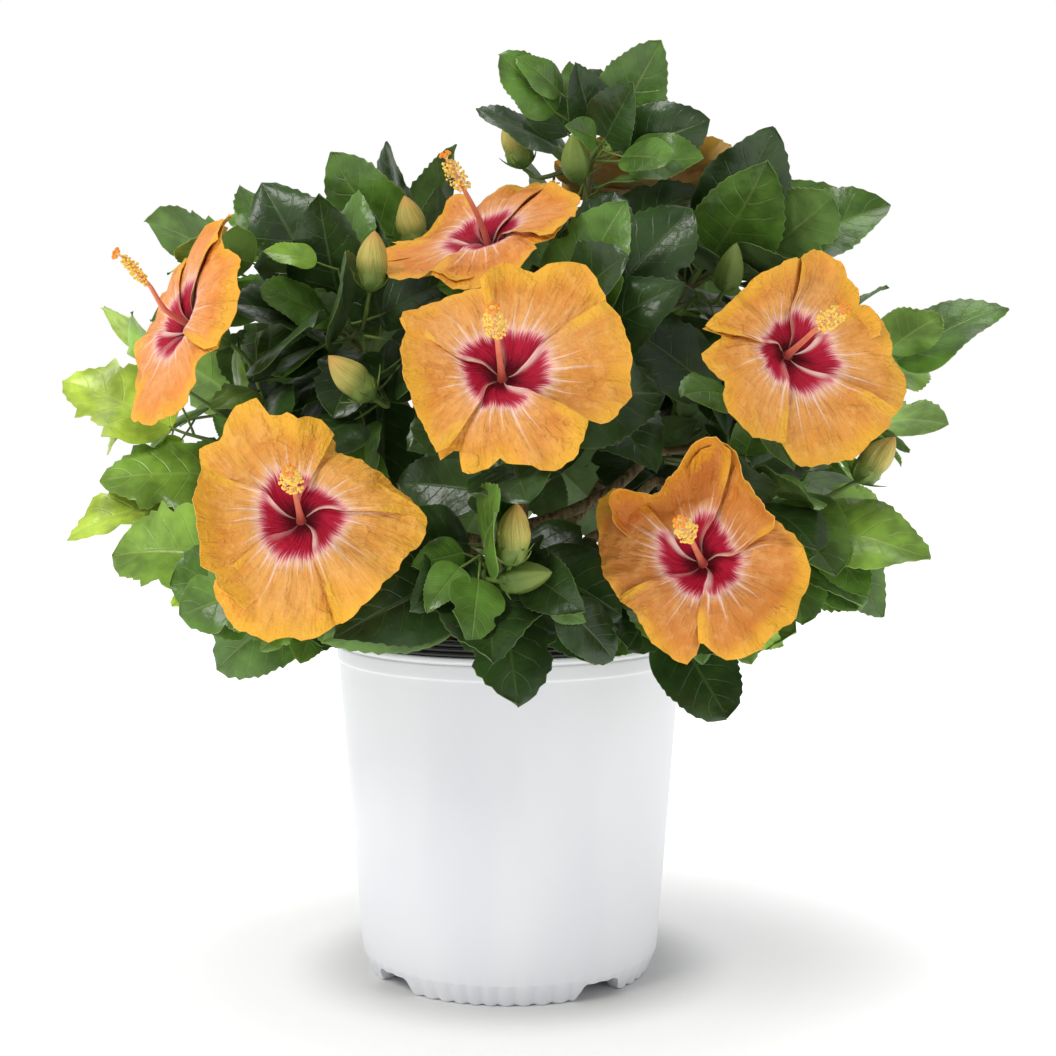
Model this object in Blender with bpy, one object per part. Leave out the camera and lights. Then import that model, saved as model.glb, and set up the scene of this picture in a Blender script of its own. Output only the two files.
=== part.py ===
"""A hibiscus shrub in bloom, in its white nursery pot.  Metres, +Z up.

The origin is the centre of the pot's flat underside, and the side shown to a viewer looks along -Y.
The pot holds a black liner and the potting soil.  A short trunk stands on the soil and forks into
boughs, one for each mass of foliage.  A mass is one solid: a stem that starts clear of its bough's
tip, shoots that branch from it by a seeded rule, and leaves, buds and blooms fused to the shoots.
"""
import math
import random

import bmesh
import bpy
from mathutils import Matrix, Vector
from mathutils.bvhtree import BVHTree

# ---------------------------------------------------------------- pot, liner and soil
GAP = 0.0003                    # clearance between neighbouring solids
ROUND = 36                      # sides of everything turned round the pot's axis
POT_HEIGHT = 0.224
POT_RIM_RADIUS = 0.1146         # outside, at the top edge
POT_WALL_RADIUS = 0.1136        # outside, just under the rim band
POT_HEEL_RADIUS = 0.0990        # outside, where the wall turns in to the foot
POT_FOOT_RADIUS = 0.0930        # outside, on the ground
POT_HEEL_HEIGHT = 0.0145
POT_BAND_HEIGHT = 0.0145        # of the rim band
POT_WALL = 0.0022
POT_FLOOR = 0.0135
NOTCH_BEARINGS = (-142.0, -52.0, 38.0, 128.0)    # degrees, seen from above, 0 at +X
NOTCH_HEIGHT = 0.011
NOTCH_FOOT_WIDTH = 0.040
NOTCH_TOP_WIDTH = 0.026
NOTCH_DEPTH = 0.018
LINER_HEIGHT = 0.2345           # the top of its lip
LINER_WALL = 0.0016
LINER_LIP = 0.0014              # how far the lip's bead stands out
SOIL_HEIGHT = 0.222

# ---------------------------------------------------------------- trunk and boughs
TRUNK_RADIUS = 0.0095
TRUNK_FLARE = 0.0050            # added to the radius at the soil
TRUNK_FOOT = 0.006              # height of the flare's widest part
TRUNK_TOP = 0.335
TRUNK_LEAN = (0.004, -0.003)    # how far the top stands from the foot
BOUGH_RADIUS = 0.0042
BOUGH_TIP_RADIUS = 0.0031
BOUGH_SIDES = 5
BOUGH_STEPS = 4
BOUGH_END = 0.010               # its last stretch is straight, in line with its mass's stem
FORK_LOW = 0.240                # the lowest and highest boughs leave the trunk here
FORK_HIGH = 0.326

# ---------------------------------------------------------------- shoots and leaves
TWIG_SIDES = 3
STEM_RADIUS = 0.0028
SHOOT_RADIUS = 0.0022
SHOOT_TIP_RADIUS = 0.0013
SHOOT_STEPS = 3
STEM_SHARE = 0.30               # of the way to the mean of its tips, where the stem ends
LEAF_LENGTH = 0.080
LEAF_SPREAD = 0.14              # how much a leaf's length varies
LEAF_HALF_WIDTH = 0.395         # of its length
LEAF_THICKNESS = 0.0014
LEAF_DROOP = 0.16               # how far the tip hangs, of its length
LEAF_FOLD = 0.20                # how far the edges stand over the midrib, of the half width
BLADE = ((0.20, 0.92), (0.62, 0.84))     # places along the blade, with their share of the half width
SMALL_BLADE = ((0.36, 1.0),)
SMALL_LEAF = 0.070              # shorter leaves have the plainer blade
PETIOLE = 0.026
PETIOLE_RADIUS = 0.0010
GOLDEN_TURN = math.radians(137.5)
SHOOT_BOW = 0.10                # how far a shoot arches, of its length
SHOOT_LEAST = 0.15              # the least of the way to its tip that a shoot goes before its end leaf
END_PETIOLE = 0.4               # an end leaf's petiole, of a full one
END_LEAF_CUT = 0.18             # how much shorter the last leaves of a shoot are
SINK = 0.001                    # how deep an end leaf's petiole stands in its shoot
OUT_PULL = 0.75                 # a leaf heads out from its shoot,
SHOOT_PULL = 0.35               # along the shoot,
CROWN_PULL = 0.45               # away from the middle of the crown,
WEIGHT_PULL = 0.18              # and down,
HEADING_CHANCE = (0.2, 0.2, 0.2)         # give or take this much on each axis
NORMAL_CHANCE = (0.4, 0.4, 0.3)
TURNS = (0.0, 0.5, -0.5, 1.0, -1.0, 1.6, -1.6)   # radians tried when a place is taken
CLEARANCE = 0.0007              # kept round every leaf
NODE_SPACING = 0.0255           # between leaves along a shoot
SIZES = (1.0, 0.78, 0.6)         # shares of its full length that a leaf may grow to
CROWN_CENTRE = Vector((0.01, 0.0, 0.366))
CROWN_RADII = (0.31, 0.27, 0.235)
CROWN_SKIRT = 0.228             # only the leaf at a shoot's end hangs lower
HIGH_LEAVES = (0.44, 0.54)       # over these heights the leaves turn from facing up to facing out

# Openings that stay free, seen from in front: each a (x, z, radius) on the plane y = 0.
VIEWPOINT = Vector((0.012, -1.278, 0.404))
OPENINGS = (
    (-0.268, 0.422, 0.011), (-0.283, 0.343, 0.012), (-0.249, 0.336, 0.005), (-0.270, 0.298, 0.010),
    (-0.201, 0.358, 0.006), (-0.213, 0.308, 0.006), (-0.233, 0.281, 0.008), (-0.246, 0.240, 0.016),
    (-0.202, 0.389, 0.007), (-0.187, 0.418, 0.004), (-0.259, 0.481, 0.014), (-0.195, 0.513, 0.008),
    (-0.137, 0.513, 0.008), (-0.019, 0.545, 0.010), (0.002, 0.525, 0.005), (0.030, 0.537, 0.004),
    (0.011, 0.479, 0.005), (0.073, 0.579, 0.005), (0.130, 0.544, 0.004), (0.204, 0.542, 0.008),
    (0.229, 0.479, 0.005), (0.250, 0.485, 0.007), (0.247, 0.446, 0.008), (0.281, 0.376, 0.017),
    (0.233, 0.345, 0.004), (0.207, 0.325, 0.005), (0.267, 0.306, 0.007), (0.219, 0.228, 0.014),
    (0.247, 0.216, 0.012))
OPENING_DEPTH = 0.22            # how far each reaches before and behind the plane, of its distance

# ---------------------------------------------------------------- blooms and buds
BLOOM_RADIUS = 0.068
PETALS = 5
PETAL_STEPS = 3                 # steps round each petal
PETAL_THICKNESS = 0.0016
THROAT_RADIUS = 0.0065
THROAT_DEPTH = 0.014
THROAT_WALL = 0.0016
COLUMN = 0.060                  # from the throat to the tip
COLUMN_SHAPE = ((0.66, 0.0014), (0.80, 0.0072), (1.0, 0.0020))     # share of the way, radius
COLUMN_LEAN = 0.06              # how far the column bends up, of its length
CALYX = 0.024
STALK_SIDES = 4
DISC_SHARE = 0.42               # of the bloom's radius, where the throat opens into the flat of the petals
RIM_SHARE = 0.80                # of the bloom's radius, between two petals
RIM_WAVE = 0.06
RIM_FALL = 0.03
# The air kept free before a bloom: heights over its throat, and the width there as a share of its radius.
BLOOM_AIR = ((0.004, 1.10), (0.020, 1.14), (0.045, 0.60))
BUD_LENGTH = 0.037

# Each mass: the tip of its bough, the tips that its shoots reach, its bloom (the throat and the way
# it faces) and its buds (the point and the way it points).
MASSES = {
    "front_left": dict(
        bough=(-0.062, -0.098, 0.294), seed=3,
        tips=((-0.247, -0.080, 0.289), (-0.205, -0.115, 0.268), (-0.182, -0.100, 0.218),
              (-0.078, -0.172, 0.254), (-0.120, -0.150, 0.231)),
        bloom=((-0.116, -0.200, 0.320), (0.02, -0.90, 0.38)),
        buds=()),
    "front": dict(
        bough=(-0.010, -0.105, 0.306), seed=5,
        tips=((-0.010, -0.245, 0.240), (0.006, -0.205, 0.214), (0.068, -0.180, 0.262),
              (-0.001, -0.205, 0.330), (-0.060, -0.190, 0.306)),
        bloom=((-0.003, -0.205, 0.401), (-0.06, -0.88, 0.47)),
        buds=(((0.006, -0.230, 0.328), (0.1, -0.3, 0.95)), ((0.030, -0.222, 0.290), (0.8, -0.4, 0.2)))),
    "front_right": dict(
        bough=(0.062, -0.095, 0.278), seed=7,
        tips=((0.132, -0.150, 0.194), (0.062, -0.150, 0.229), (0.170, -0.150, 0.241),
              (0.190, -0.130, 0.276)),
        bloom=((0.108, -0.200, 0.295), (-0.25, -0.88, 0.34)),
        buds=()),
    "right_front": dict(
        bough=(0.100, -0.060, 0.326), seed=9,
        tips=((0.249, -0.140, 0.287), (0.235, -0.080, 0.321), (0.239, -0.040, 0.249),
              (0.150, -0.135, 0.341)),
        bloom=((0.170, -0.140, 0.412), (0.32, -0.86, 0.30)),
        buds=(((0.240, -0.080, 0.358), (0.6, -0.2, 0.75)),)),
    "right": dict(
        bough=(0.105, 0.012, 0.345), seed=11,
        tips=((0.326, 0.000, 0.443), (0.250, 0.030, 0.458), (0.300, 0.060, 0.366),
              (0.262, 0.055, 0.292), (0.205, 0.010, 0.262)),
        bloom=None,
        buds=()),
    "left": dict(
        bough=(-0.110, -0.020, 0.331), seed=13,
        tips=((-0.295, 0.000, 0.393), (-0.262, -0.040, 0.329), (-0.283, -0.050, 0.297),
              (-0.284, 0.055, 0.441), (-0.235, 0.045, 0.290), (-0.180, 0.020, 0.258)),
        bloom=((-0.204, -0.085, 0.430), (-0.767, -0.556, 0.361), (-0.46, -0.60, 0.65)),
        buds=()),
    "left_top": dict(
        bough=(-0.080, 0.000, 0.391), seed=15,
        tips=((-0.160, 0.000, 0.523), (-0.246, 0.065, 0.501), (-0.122, -0.050, 0.511),
              (-0.172, -0.070, 0.442), (-0.096, -0.135, 0.453)),
        bloom=None,
        buds=(((-0.106, -0.130, 0.408), (-0.6, -0.2, 0.6)), ((-0.080, -0.105, 0.483), (0.1, -0.2, 0.9)))),
    "top_left": dict(
        bough=(-0.040, 0.030, 0.426), seed=17,
        tips=((-0.119, 0.020, 0.542), (-0.083, 0.030, 0.551), (-0.038, 0.060, 0.551),
              (-0.140, 0.070, 0.506)),
        bloom=None,
        buds=(((-0.068, -0.010, 0.512), (-0.2, -0.2, 0.9)),)),
    "upper": dict(
        bough=(0.010, -0.060, 0.401), seed=19,
        tips=((0.104, -0.110, 0.451), (0.085, -0.150, 0.345), (0.112, -0.070, 0.500),
              (-0.060, -0.120, 0.351)),
        bloom=((-0.016, -0.075, 0.485), (-0.34, -0.44, 0.83), (-0.36, -0.62, 0.70)),
        buds=()),
    "top": dict(
        bough=(0.045, 0.008, 0.456), seed=21, stem=0.62,
        tips=((0.004, 0.000, 0.594), (0.099, -0.040, 0.605), (-0.022, -0.025, 0.564),
              (0.124, -0.050, 0.554), (0.060, 0.018, 0.598), (0.080, -0.062, 0.576)),
        bloom=None,
        buds=(((0.000, 0.000, 0.566), (-0.25, -0.2, 0.95)), ((0.040, -0.052, 0.552), (-0.1, -0.45, 0.88)))),
    "top_right": dict(
        bough=(0.085, 0.030, 0.421), seed=23,
        tips=((0.170, -0.010, 0.556), (0.166, -0.050, 0.528), (0.217, 0.030, 0.522),
              (0.250, 0.000, 0.506)),
        bloom=((0.094, 0.058, 0.528), (0.02, 0.48, 0.88)),
        buds=(((0.145, -0.050, 0.484), (0.2, -0.3, 0.9)),)),
    "back_right": dict(
        bough=(0.075, 0.085, 0.326), seed=25,
        tips=((0.270, 0.100, 0.426), (0.262, 0.130, 0.306), (0.190, 0.190, 0.258),
              (0.100, 0.245, 0.326), (0.150, 0.155, 0.484)),
        bloom=((0.165, 0.192, 0.391), (0.62, 0.70, 0.35)),
        buds=(((0.232, 0.130, 0.356), (0.8, 0.3, 0.4)),)),
    "back": dict(
        bough=(0.000, 0.105, 0.341), seed=27,
        tips=((0.088, 0.228, 0.368), (-0.078, 0.235, 0.338), (0.005, 0.245, 0.274),
              (0.050, 0.165, 0.506), (-0.078, 0.155, 0.501)),
        bloom=((-0.012, 0.222, 0.421), (-0.05, 0.88, 0.46)),
        buds=(((0.050, 0.228, 0.328), (0.3, 0.7, 0.6)),)),
    "back_left": dict(
        bough=(-0.075, 0.080, 0.321), seed=29,
        tips=((-0.262, 0.100, 0.421), (-0.265, 0.095, 0.316), (-0.190, 0.188, 0.238),
              (-0.090, 0.238, 0.281), (-0.160, 0.130, 0.478)),
        bloom=((-0.165, 0.172, 0.368), (-0.66, 0.66, 0.35)),
        buds=()),
}

# ---------------------------------------------------------------- colours
WHITE = (0.86, 0.87, 0.88)
BLACK = (0.012, 0.012, 0.013)
SOIL = (0.035, 0.024, 0.017)
BARK = (0.16, 0.115, 0.065)
LEAF_GREEN = (0.035, 0.115, 0.022)


# ================================================================ small helpers
def material(name, colour, roughness):
    """A plain Principled material."""
    made = bpy.data.materials.new(name)
    made.use_nodes = True
    shader = made.node_tree.nodes["Principled BSDF"]
    shader.inputs["Base Color"].default_value = (*colour, 1.0)
    shader.inputs["Roughness"].default_value = roughness
    shader.inputs["Metallic"].default_value = 0.0
    made.diffuse_color = (*colour, 1.0)
    return made


def mesh_object(name, vertices, faces, collection=None):
    """A new object from a list of corners and faces."""
    mesh = bpy.data.meshes.new(name)
    mesh.from_pydata([tuple(v) for v in vertices], [], faces)
    mesh.update()
    made = bpy.data.objects.new(name, mesh)
    (collection or bpy.context.scene.collection).objects.link(made)
    return made


def polar(radius, angle, height):
    return Vector((radius * math.cos(angle), radius * math.sin(angle), height))


def curve_points(a, b, c, steps):
    """Points along a quadratic curve that leaves a towards b and ends at c."""
    found = []
    for i in range(steps + 1):
        t = i / steps
        found.append((1 - t) ** 2 * a + 2 * t * (1 - t) * b + t * t * c)
    return found


def across(direction, near):
    """The unit vector nearest to `near` at right angles to `direction`."""
    flat = near - direction * near.dot(direction)
    if flat.length < 1e-6:
        flat = direction.orthogonal()
    return flat.normalized()


# ================================================================ lofts
def turned(profile, sides):
    """A solid turned round Z; the profile runs from the axis, out, and back to the axis."""
    vertices = [Vector((0, 0, profile[0][1]))]
    for radius, height in profile[1:-1]:
        for k in range(sides):
            vertices.append(polar(radius, 2 * math.pi * k / sides, height))
    vertices.append(Vector((0, 0, profile[-1][1])))
    faces = []
    for k in range(sides):
        after = (k + 1) % sides
        faces.append((0, 1 + after, 1 + k))
    for ring in range(len(profile) - 3):
        start = 1 + ring * sides
        for k in range(sides):
            after = (k + 1) % sides
            faces.append((start + k, start + after, start + sides + after, start + sides + k))
    start = 1 + (len(profile) - 3) * sides
    for k in range(sides):
        after = (k + 1) % sides
        faces.append((start + k, start + after, len(vertices) - 1))
    return vertices, faces


def tube(points, radii, sides):
    """A closed tube through the points, with a radius at each."""
    vertices = []
    heading = (points[1] - points[0]).normalized()
    side = across(heading, Vector((0.31, 0.23, 0.92)))
    for i, point in enumerate(points):
        before = points[max(i - 1, 0)]
        after = points[min(i + 1, len(points) - 1)]
        heading = (after - before).normalized()
        side = across(heading, side)
        up = heading.cross(side)
        for k in range(sides):
            angle = 2 * math.pi * k / sides
            vertices.append(point + radii[i] * (math.cos(angle) * side + math.sin(angle) * up))
    faces = [tuple(reversed(range(sides)))]
    for i in range(len(points) - 1):
        for k in range(sides):
            after = (k + 1) % sides
            low = i * sides
            faces.append((low + k, low + after, low + sides + after, low + sides + k))
    last = (len(points) - 1) * sides
    faces.append(tuple(last + k for k in range(sides)))
    return vertices, faces


# ================================================================ the growth rule
class Leaf:
    """One leaf: its petiole's root and end, the blade's heading and its upper side."""

    def __init__(self, root, base, heading, normal, length):
        self.root = root
        self.base = base
        self.heading = heading
        self.normal = across(heading, normal)
        self.side = heading.cross(self.normal)
        self.length = length

    def spine(self, t):
        """A point on the midrib, 0 at the blade's base and 1 at its tip."""
        drop = LEAF_DROOP * t * t * self.length
        return self.base + self.heading * (t * self.length) - self.normal * drop

    def section(self, t, half_width, thick):
        """The four corners across the blade: right edge, top, left edge, underside."""
        middle = self.spine(t)
        out = self.side * half_width
        lift = self.normal * (LEAF_FOLD * half_width)
        rise = self.normal * (thick / 2)
        return [middle + out + lift, middle + rise, middle - out + lift, middle - rise]

    def mesh(self, clear=0.0):
        """The leaf as a closed solid; `clear` fattens it for the test against its neighbours."""
        wide = LEAF_HALF_WIDTH * self.length
        thick = LEAF_THICKNESS + 2 * clear
        start = self.root
        stalk = PETIOLE_RADIUS + clear
        if clear:
            start = self.root.lerp(self.base, 0.45)
        along = (self.base - self.root).normalized()
        side = across(along, self.side)
        over = along.cross(side) * -1
        rings = []
        for point in (start, self.base - along * 0.002):
            rings.append([point + side * stalk, point - side * stalk, point - over * stalk])
        for t, share in SMALL_BLADE if self.length < SMALL_LEAF else BLADE:
            rings.append(self.section(t, wide * share + clear, thick))
        vertices = [corner for ring in rings for corner in ring]
        vertices.append(self.spine(1.0) + self.heading * clear)
        faces = list(PETIOLE_FACES)
        for low in range(6, len(vertices) - 5, 4):
            for k in range(4):
                after = (k + 1) % 4
                faces.append((low + k, low + after, low + 4 + after, low + 4 + k))
        last = len(vertices) - 5
        for k in range(4):
            faces.append((last + k, last + (k + 1) % 4, last + 4))
        return vertices, faces


# The petiole's corners are its root 0-2 and its end 3-5 (right, left, under); the first section of
# the blade is 6-9 (right, top, left, under).
PETIOLE_FACES = (
    (2, 1, 0), (0, 1, 4, 3), (1, 2, 5, 4), (2, 0, 3, 5),
    (3, 4, 7), (3, 7, 6), (4, 8, 7), (4, 5, 9, 8), (5, 3, 6, 9))


class Space:
    """What is already grown, so that nothing new touches it."""

    def __init__(self):
        self.taken = []

    def add(self, vertices, faces, owner):
        low = Vector([min(v[i] for v in vertices) for i in range(3)])
        high = Vector([max(v[i] for v in vertices) for i in range(3)])
        tree = BVHTree.FromPolygons([tuple(v) for v in vertices], faces)
        self.taken.append((tree, low, high, owner))

    def free(self, vertices, faces, but=()):
        """Whether the shape touches nothing, leaving out what the owners in `but` have."""
        low = [min(v[i] for v in vertices) for i in range(3)]
        high = [max(v[i] for v in vertices) for i in range(3)]
        tree = None
        for other, other_low, other_high, owner in self.taken:
            if owner in but:
                continue
            if any(low[i] > other_high[i] or high[i] < other_low[i] for i in range(3)):
                continue
            tree = tree or BVHTree.FromPolygons([tuple(v) for v in vertices], faces)
            if tree.overlap(other):
                return False
        return True


def fat_tube(points, radii):
    return tube(points, [radius + CLEARANCE for radius in radii], 5)


def bloom_frame(face):
    """The facing axis of a bloom, with the right and up directions of its disc."""
    axis = Vector(face).normalized()
    up = across(axis, Vector((0, 0, 1)))
    return axis, axis.cross(up) * -1, up


def stalk_of_bloom(start, bloom):
    """The path of a bloom's stalk, from the stem to the underside of its throat."""
    throat = Vector(bloom[0])
    axis = Vector(bloom[1]).normalized()
    end = throat - axis * (THROAT_DEPTH + THROAT_WALL)
    calyx = end - axis * CALYX
    middle = calyx - axis * max(0.25 * (calyx - start).length, 0.01)
    path = curve_points(start, middle, calyx, 3)
    path.append(end)
    return path


def stalk_of_bud(start, bud):
    """The path of a bud's stalk and of the bud itself, to its point."""
    point = Vector(bud[0])
    axis = Vector(bud[1]).normalized()
    foot = point - axis * BUD_LENGTH
    path = curve_points(start, foot - axis * 0.3 * (foot - start).length, foot, 2)
    for share in (0.22, 0.55, 1.0):
        path.append(foot + axis * BUD_LENGTH * share)
    return path


BLOOM_STALK_RADII = (0.0017, 0.0015, 0.0014, 0.0040, 0.0072)
BUD_RADII = (0.0013, 0.0011, 0.0013, 0.0080, 0.0090, 0.0010)


def shoot_path(start, tip, leaf, bow):
    """A shoot's curve from the stem to where its end leaf begins, arching by `bow`."""
    whole = tip - start
    reach = max(whole.length - leaf, SHOOT_LEAST * whole.length)
    end = start + whole.normalized() * reach
    middle = start.lerp(end, 0.5) + bow * reach
    return curve_points(start, middle, end, SHOOT_STEPS)


def upper_side(point):
    """The way a leaf's upper side turns: up, outwards, and to the front or the back, less up at the top."""
    outward = (point - CROWN_CENTRE).normalized()
    front = math.tanh((point.y - 0.03) / 0.06)
    high = min(max((point.z - HIGH_LEAVES[0]) / (HIGH_LEAVES[1] - HIGH_LEAVES[0]), 0.0), 1.0)
    outward.z *= 1 - 0.6 * high
    return 0.5 * outward + Vector((0, 0.8 * front, 0.6 - 0.4 * high))


def leaf_on(point, axis, out, length, petiole, chance):
    """A leaf from a point of a shoot: out from the shoot, out of the crown, and hanging a little."""
    from_centre = (point - CROWN_CENTRE).normalized()
    heading = OUT_PULL * out + SHOOT_PULL * axis + CROWN_PULL * from_centre - Vector((0, 0, WEIGHT_PULL))
    heading += Vector([chance.uniform(-most, most) for most in HEADING_CHANCE])
    heading.normalize()
    normal = upper_side(point) + Vector([chance.uniform(-most, most) for most in NORMAL_CHANCE])
    stalk = (0.8 * out + 0.5 * axis + 0.2 * heading).normalized()
    return Leaf(point, point + stalk * petiole, heading, normal, length)


class Mass:
    """One mass of foliage: its stem, its shoots, and what finds room on them."""

    def __init__(self, name, plan):
        self.name = name
        self.plan = plan
        self.tips = [Vector(tip) for tip in plan["tips"]]
        bough_end = Vector(plan["bough"])
        middle = sum(self.tips, Vector()) / len(self.tips)
        stem_end = bough_end.lerp(middle, plan.get("stem", STEM_SHARE))
        self.heading = (stem_end - bough_end).normalized()
        start = bough_end + self.heading * GAP
        self.stem = [start, start.lerp(stem_end, 0.5), stem_end]
        self.shoots = []
        self.leafy = [(9, self.stem)]
        self.leaves = []
        self.solids = []

    def put(self, shape, space, test=None):
        """Keeps a closed shape, and takes its room (or the room of its test shape)."""
        self.solids.append(shape)
        space.add(*(test or shape), self.name)

    def grow_bloom(self, space):
        """The stem, then the bloom and its stalk."""
        radii = [STEM_RADIUS, 0.5 * (STEM_RADIUS + SHOOT_RADIUS), SHOOT_RADIUS]
        self.put(tube(self.stem, radii, TWIG_SIDES + 1), space)
        bloom = self.plan["bloom"]
        if bloom:
            stalk = stalk_of_bloom(self.stem[2], bloom)
            stalk_shape = tube(stalk, BLOOM_STALK_RADII, STALK_SIDES)
            for shape in (stalk_shape, bloom_disc(bloom), bloom_column(bloom)):
                self.put(shape, space)
            self.leafy.append((10, stalk[:3]))
        for number, bud in enumerate(self.plan["buds"]):
            stalk = stalk_of_bud(self.stem[2], bud)
            self.put(tube(stalk, BUD_RADII, STALK_SIDES), space)
            self.leafy.append((11 + number, stalk[:2]))

    def grow_shoots(self, space):
        """One shoot towards each tip, arched the first way that touches nothing."""
        for number, tip in enumerate(self.tips):
            chord = (tip - self.stem[2]).normalized()
            bow = across(chord, Vector((0, 0, 1))) * SHOOT_BOW
            for turn in TURNS:
                turned_bow = Matrix.Rotation(turn, 3, chord) @ bow
                trial = shoot_path(self.stem[2], tip, LEAF_LENGTH + END_PETIOLE * PETIOLE, turned_bow)
                radii = tapering(SHOOT_RADIUS, SHOOT_TIP_RADIUS, len(trial))
                if space.free(*fat_tube(trial, radii), but=(self.name,)):
                    self.put(tube(trial, radii, TWIG_SIDES), space)
                    self.shoots.append((trial, tip))
                    self.leafy.append((number, trial))
                    break

    def grow_end_leaves(self, space):
        """The leaf at the end of each shoot, whose tip is the tip that the shoot reaches."""
        for path, tip in self.shoots:
            end = path[-1]
            along = (path[-1] - path[-2]).normalized()
            out = (tip - end).normalized()
            base = end + (0.6 * out + 0.4 * along).normalized() * END_PETIOLE * PETIOLE
            reach = (tip - base).length
            up = upper_side(tip)
            length = reach / math.hypot(1.0, LEAF_DROOP)
            flat = (tip - base).normalized()
            normal = across(flat, up)
            for roll in TURNS:
                rolled = Matrix.Rotation(roll, 3, flat) @ normal
                heading = (flat + rolled * LEAF_DROOP).normalized()
                if self.try_leaf(Leaf(end - along * SINK, base, heading, rolled, length), space):
                    break

    def grow_leaves(self, space):
        """Leaves up each shoot, a golden turn apart, each turned until it finds room."""
        for number, path in self.leafy:
            lengths = [(b - a).length for a, b in zip(path, path[1:])]
            count = round(sum(lengths) / NODE_SPACING)
            for k in range(count):
                chance = random.Random(f"{self.plan['seed']}-{number}-{k}")
                share = (k + 0.75) / count
                point, along = on_path(path, share)
                start = across(along, Vector((0.3, 0.2, 0.9)))
                length = LEAF_LENGTH * (1 + LEAF_SPREAD * chance.uniform(-1, 1))
                if share > 0.8:
                    length *= 1 - END_LEAF_CUT
                roll = GOLDEN_TURN * k + 1.3 * number + chance.uniform(-0.3, 0.3)
                self.try_turns(point, along, start, roll, length, space)

    def try_turns(self, point, along, start, roll, length, space):
        """One leaf from a point, turned round the shoot and then made smaller until it finds room."""
        for size in SIZES:
            for turn in TURNS:
                out = Matrix.Rotation(roll + turn, 3, along) @ start
                chance = random.Random(f"{roll + turn:.3f}")
                leaf = leaf_on(point, along, out, size * length, PETIOLE * size, chance)
                if in_crown(leaf) and self.try_leaf(leaf, space):
                    return

    def try_leaf(self, leaf, space):
        test = leaf.mesh(CLEARANCE)
        stalk = fat_tube((leaf.root, leaf.base), (PETIOLE_RADIUS, PETIOLE_RADIUS))
        own_stalks = self.name + " stalks"
        if not (space.free(*test, but=(own_stalks,)) and space.free(*stalk, but=(own_stalks, self.name))):
            return False
        space.add(*stalk, own_stalks)
        self.put(leaf.mesh(), space, test)
        self.leaves.append(leaf)
        return True


def tapering(first, last, count):
    """Radii that change evenly from the first to the last."""
    return [first + (last - first) * i / (count - 1) for i in range(count)]


def on_path(path, share):
    """The point a share of the way along a path, and the direction there."""
    place = share * (len(path) - 1)
    i = min(int(place), len(path) - 2)
    return path[i].lerp(path[i + 1], place - i), (path[i + 1] - path[i]).normalized()


def in_crown(leaf):
    """Whether a leaf stays inside the crown's outline, above its skirt and off the pot."""
    for t in (0.5, 1.0):
        point = leaf.spine(t)
        offset = point - CROWN_CENTRE
        share = sum((offset[i] / CROWN_RADII[i]) ** 2 for i in range(3))
        if share > 1.0 or point.z < CROWN_SKIRT:
            return False
        if point.z < LINER_HEIGHT + 0.012 and math.hypot(point.x, point.y) < POT_RIM_RADIUS + 0.015:
            return False
    return True


# ================================================================ blooms
def petal_rim(angle):
    """The rim's share of the bloom's radius at an angle, and its rise: five broad wavy petals."""
    lobe = abs(math.sin(PETALS * angle / 2))
    return RIM_SHARE + (1 - RIM_SHARE) * lobe ** 0.6, RIM_WAVE * math.sin(2 * PETALS * angle)


def bloom_disc(bloom):
    """The five petals as one dished disc with a lobed rim."""
    throat = Vector(bloom[0])
    axis, right, up = bloom_frame(bloom[1])
    count = PETALS * PETAL_STEPS
    rings = ((THROAT_RADIUS, -THROAT_DEPTH), (DISC_SHARE * BLOOM_RADIUS, -0.001))
    vertices = [throat - axis * (THROAT_DEPTH + 0.001)]
    for radius, depth in rings:
        for k in range(count):
            angle = 2 * math.pi * k / count
            out = math.cos(angle) * right + math.sin(angle) * up
            vertices.append(throat + out * radius + axis * depth)
    for k in range(count):
        angle = 2 * math.pi * k / count
        out = math.cos(angle) * right + math.sin(angle) * up
        share, rise = petal_rim(angle)
        vertices.append(throat + (out * share + axis * (rise - RIM_FALL)) * BLOOM_RADIUS)
    for radius, depth in reversed(rings):
        for k in range(count):
            angle = 2 * math.pi * k / count
            out = math.cos(angle) * right + math.sin(angle) * up
            vertices.append(throat + out * radius + axis * (depth - PETAL_THICKNESS))
    vertices.append(throat - axis * (THROAT_DEPTH + PETAL_THICKNESS + 0.001))
    faces = []
    for k in range(count):                       # the top and the underside are split the same way
        after = (k + 1) % count
        faces.append((0, 1 + after, 1 + k))
        for ring in range(4):
            low = 1 + ring * count
            near, near_after = low + k, low + after
            far, far_after = low + count + k, low + count + after
            if ring < 2:
                faces += [(near, near_after, far_after), (near, far_after, far)]
            else:
                faces += [(near, near_after, far), (near_after, far_after, far)]
        low = 1 + 4 * count
        faces.append((low + k, low + after, len(vertices) - 1))
    return facing_out(vertices, faces)


def column_way(bloom):
    """The way a bloom's column leans: its own, or along the bloom's axis and a little up."""
    axis, _, up = bloom_frame(bloom[1])
    return Vector(bloom[2]).normalized() if len(bloom) > 2 else axis + COLUMN_LEAN * up


def bloom_column(bloom):
    """The column from the throat, with its head of anthers."""
    throat = Vector(bloom[0])
    axis = bloom_frame(bloom[1])[0]
    foot = -(THROAT_DEPTH + THROAT_WALL + 0.0002) / COLUMN
    shape = ((foot, 0.0020), *COLUMN_SHAPE)
    points = [throat + (axis if share < 0 else column_way(bloom)) * (share * COLUMN) for share, _ in shape]
    return tube(points, [radius for _, radius in shape], STALK_SIDES)


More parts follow.
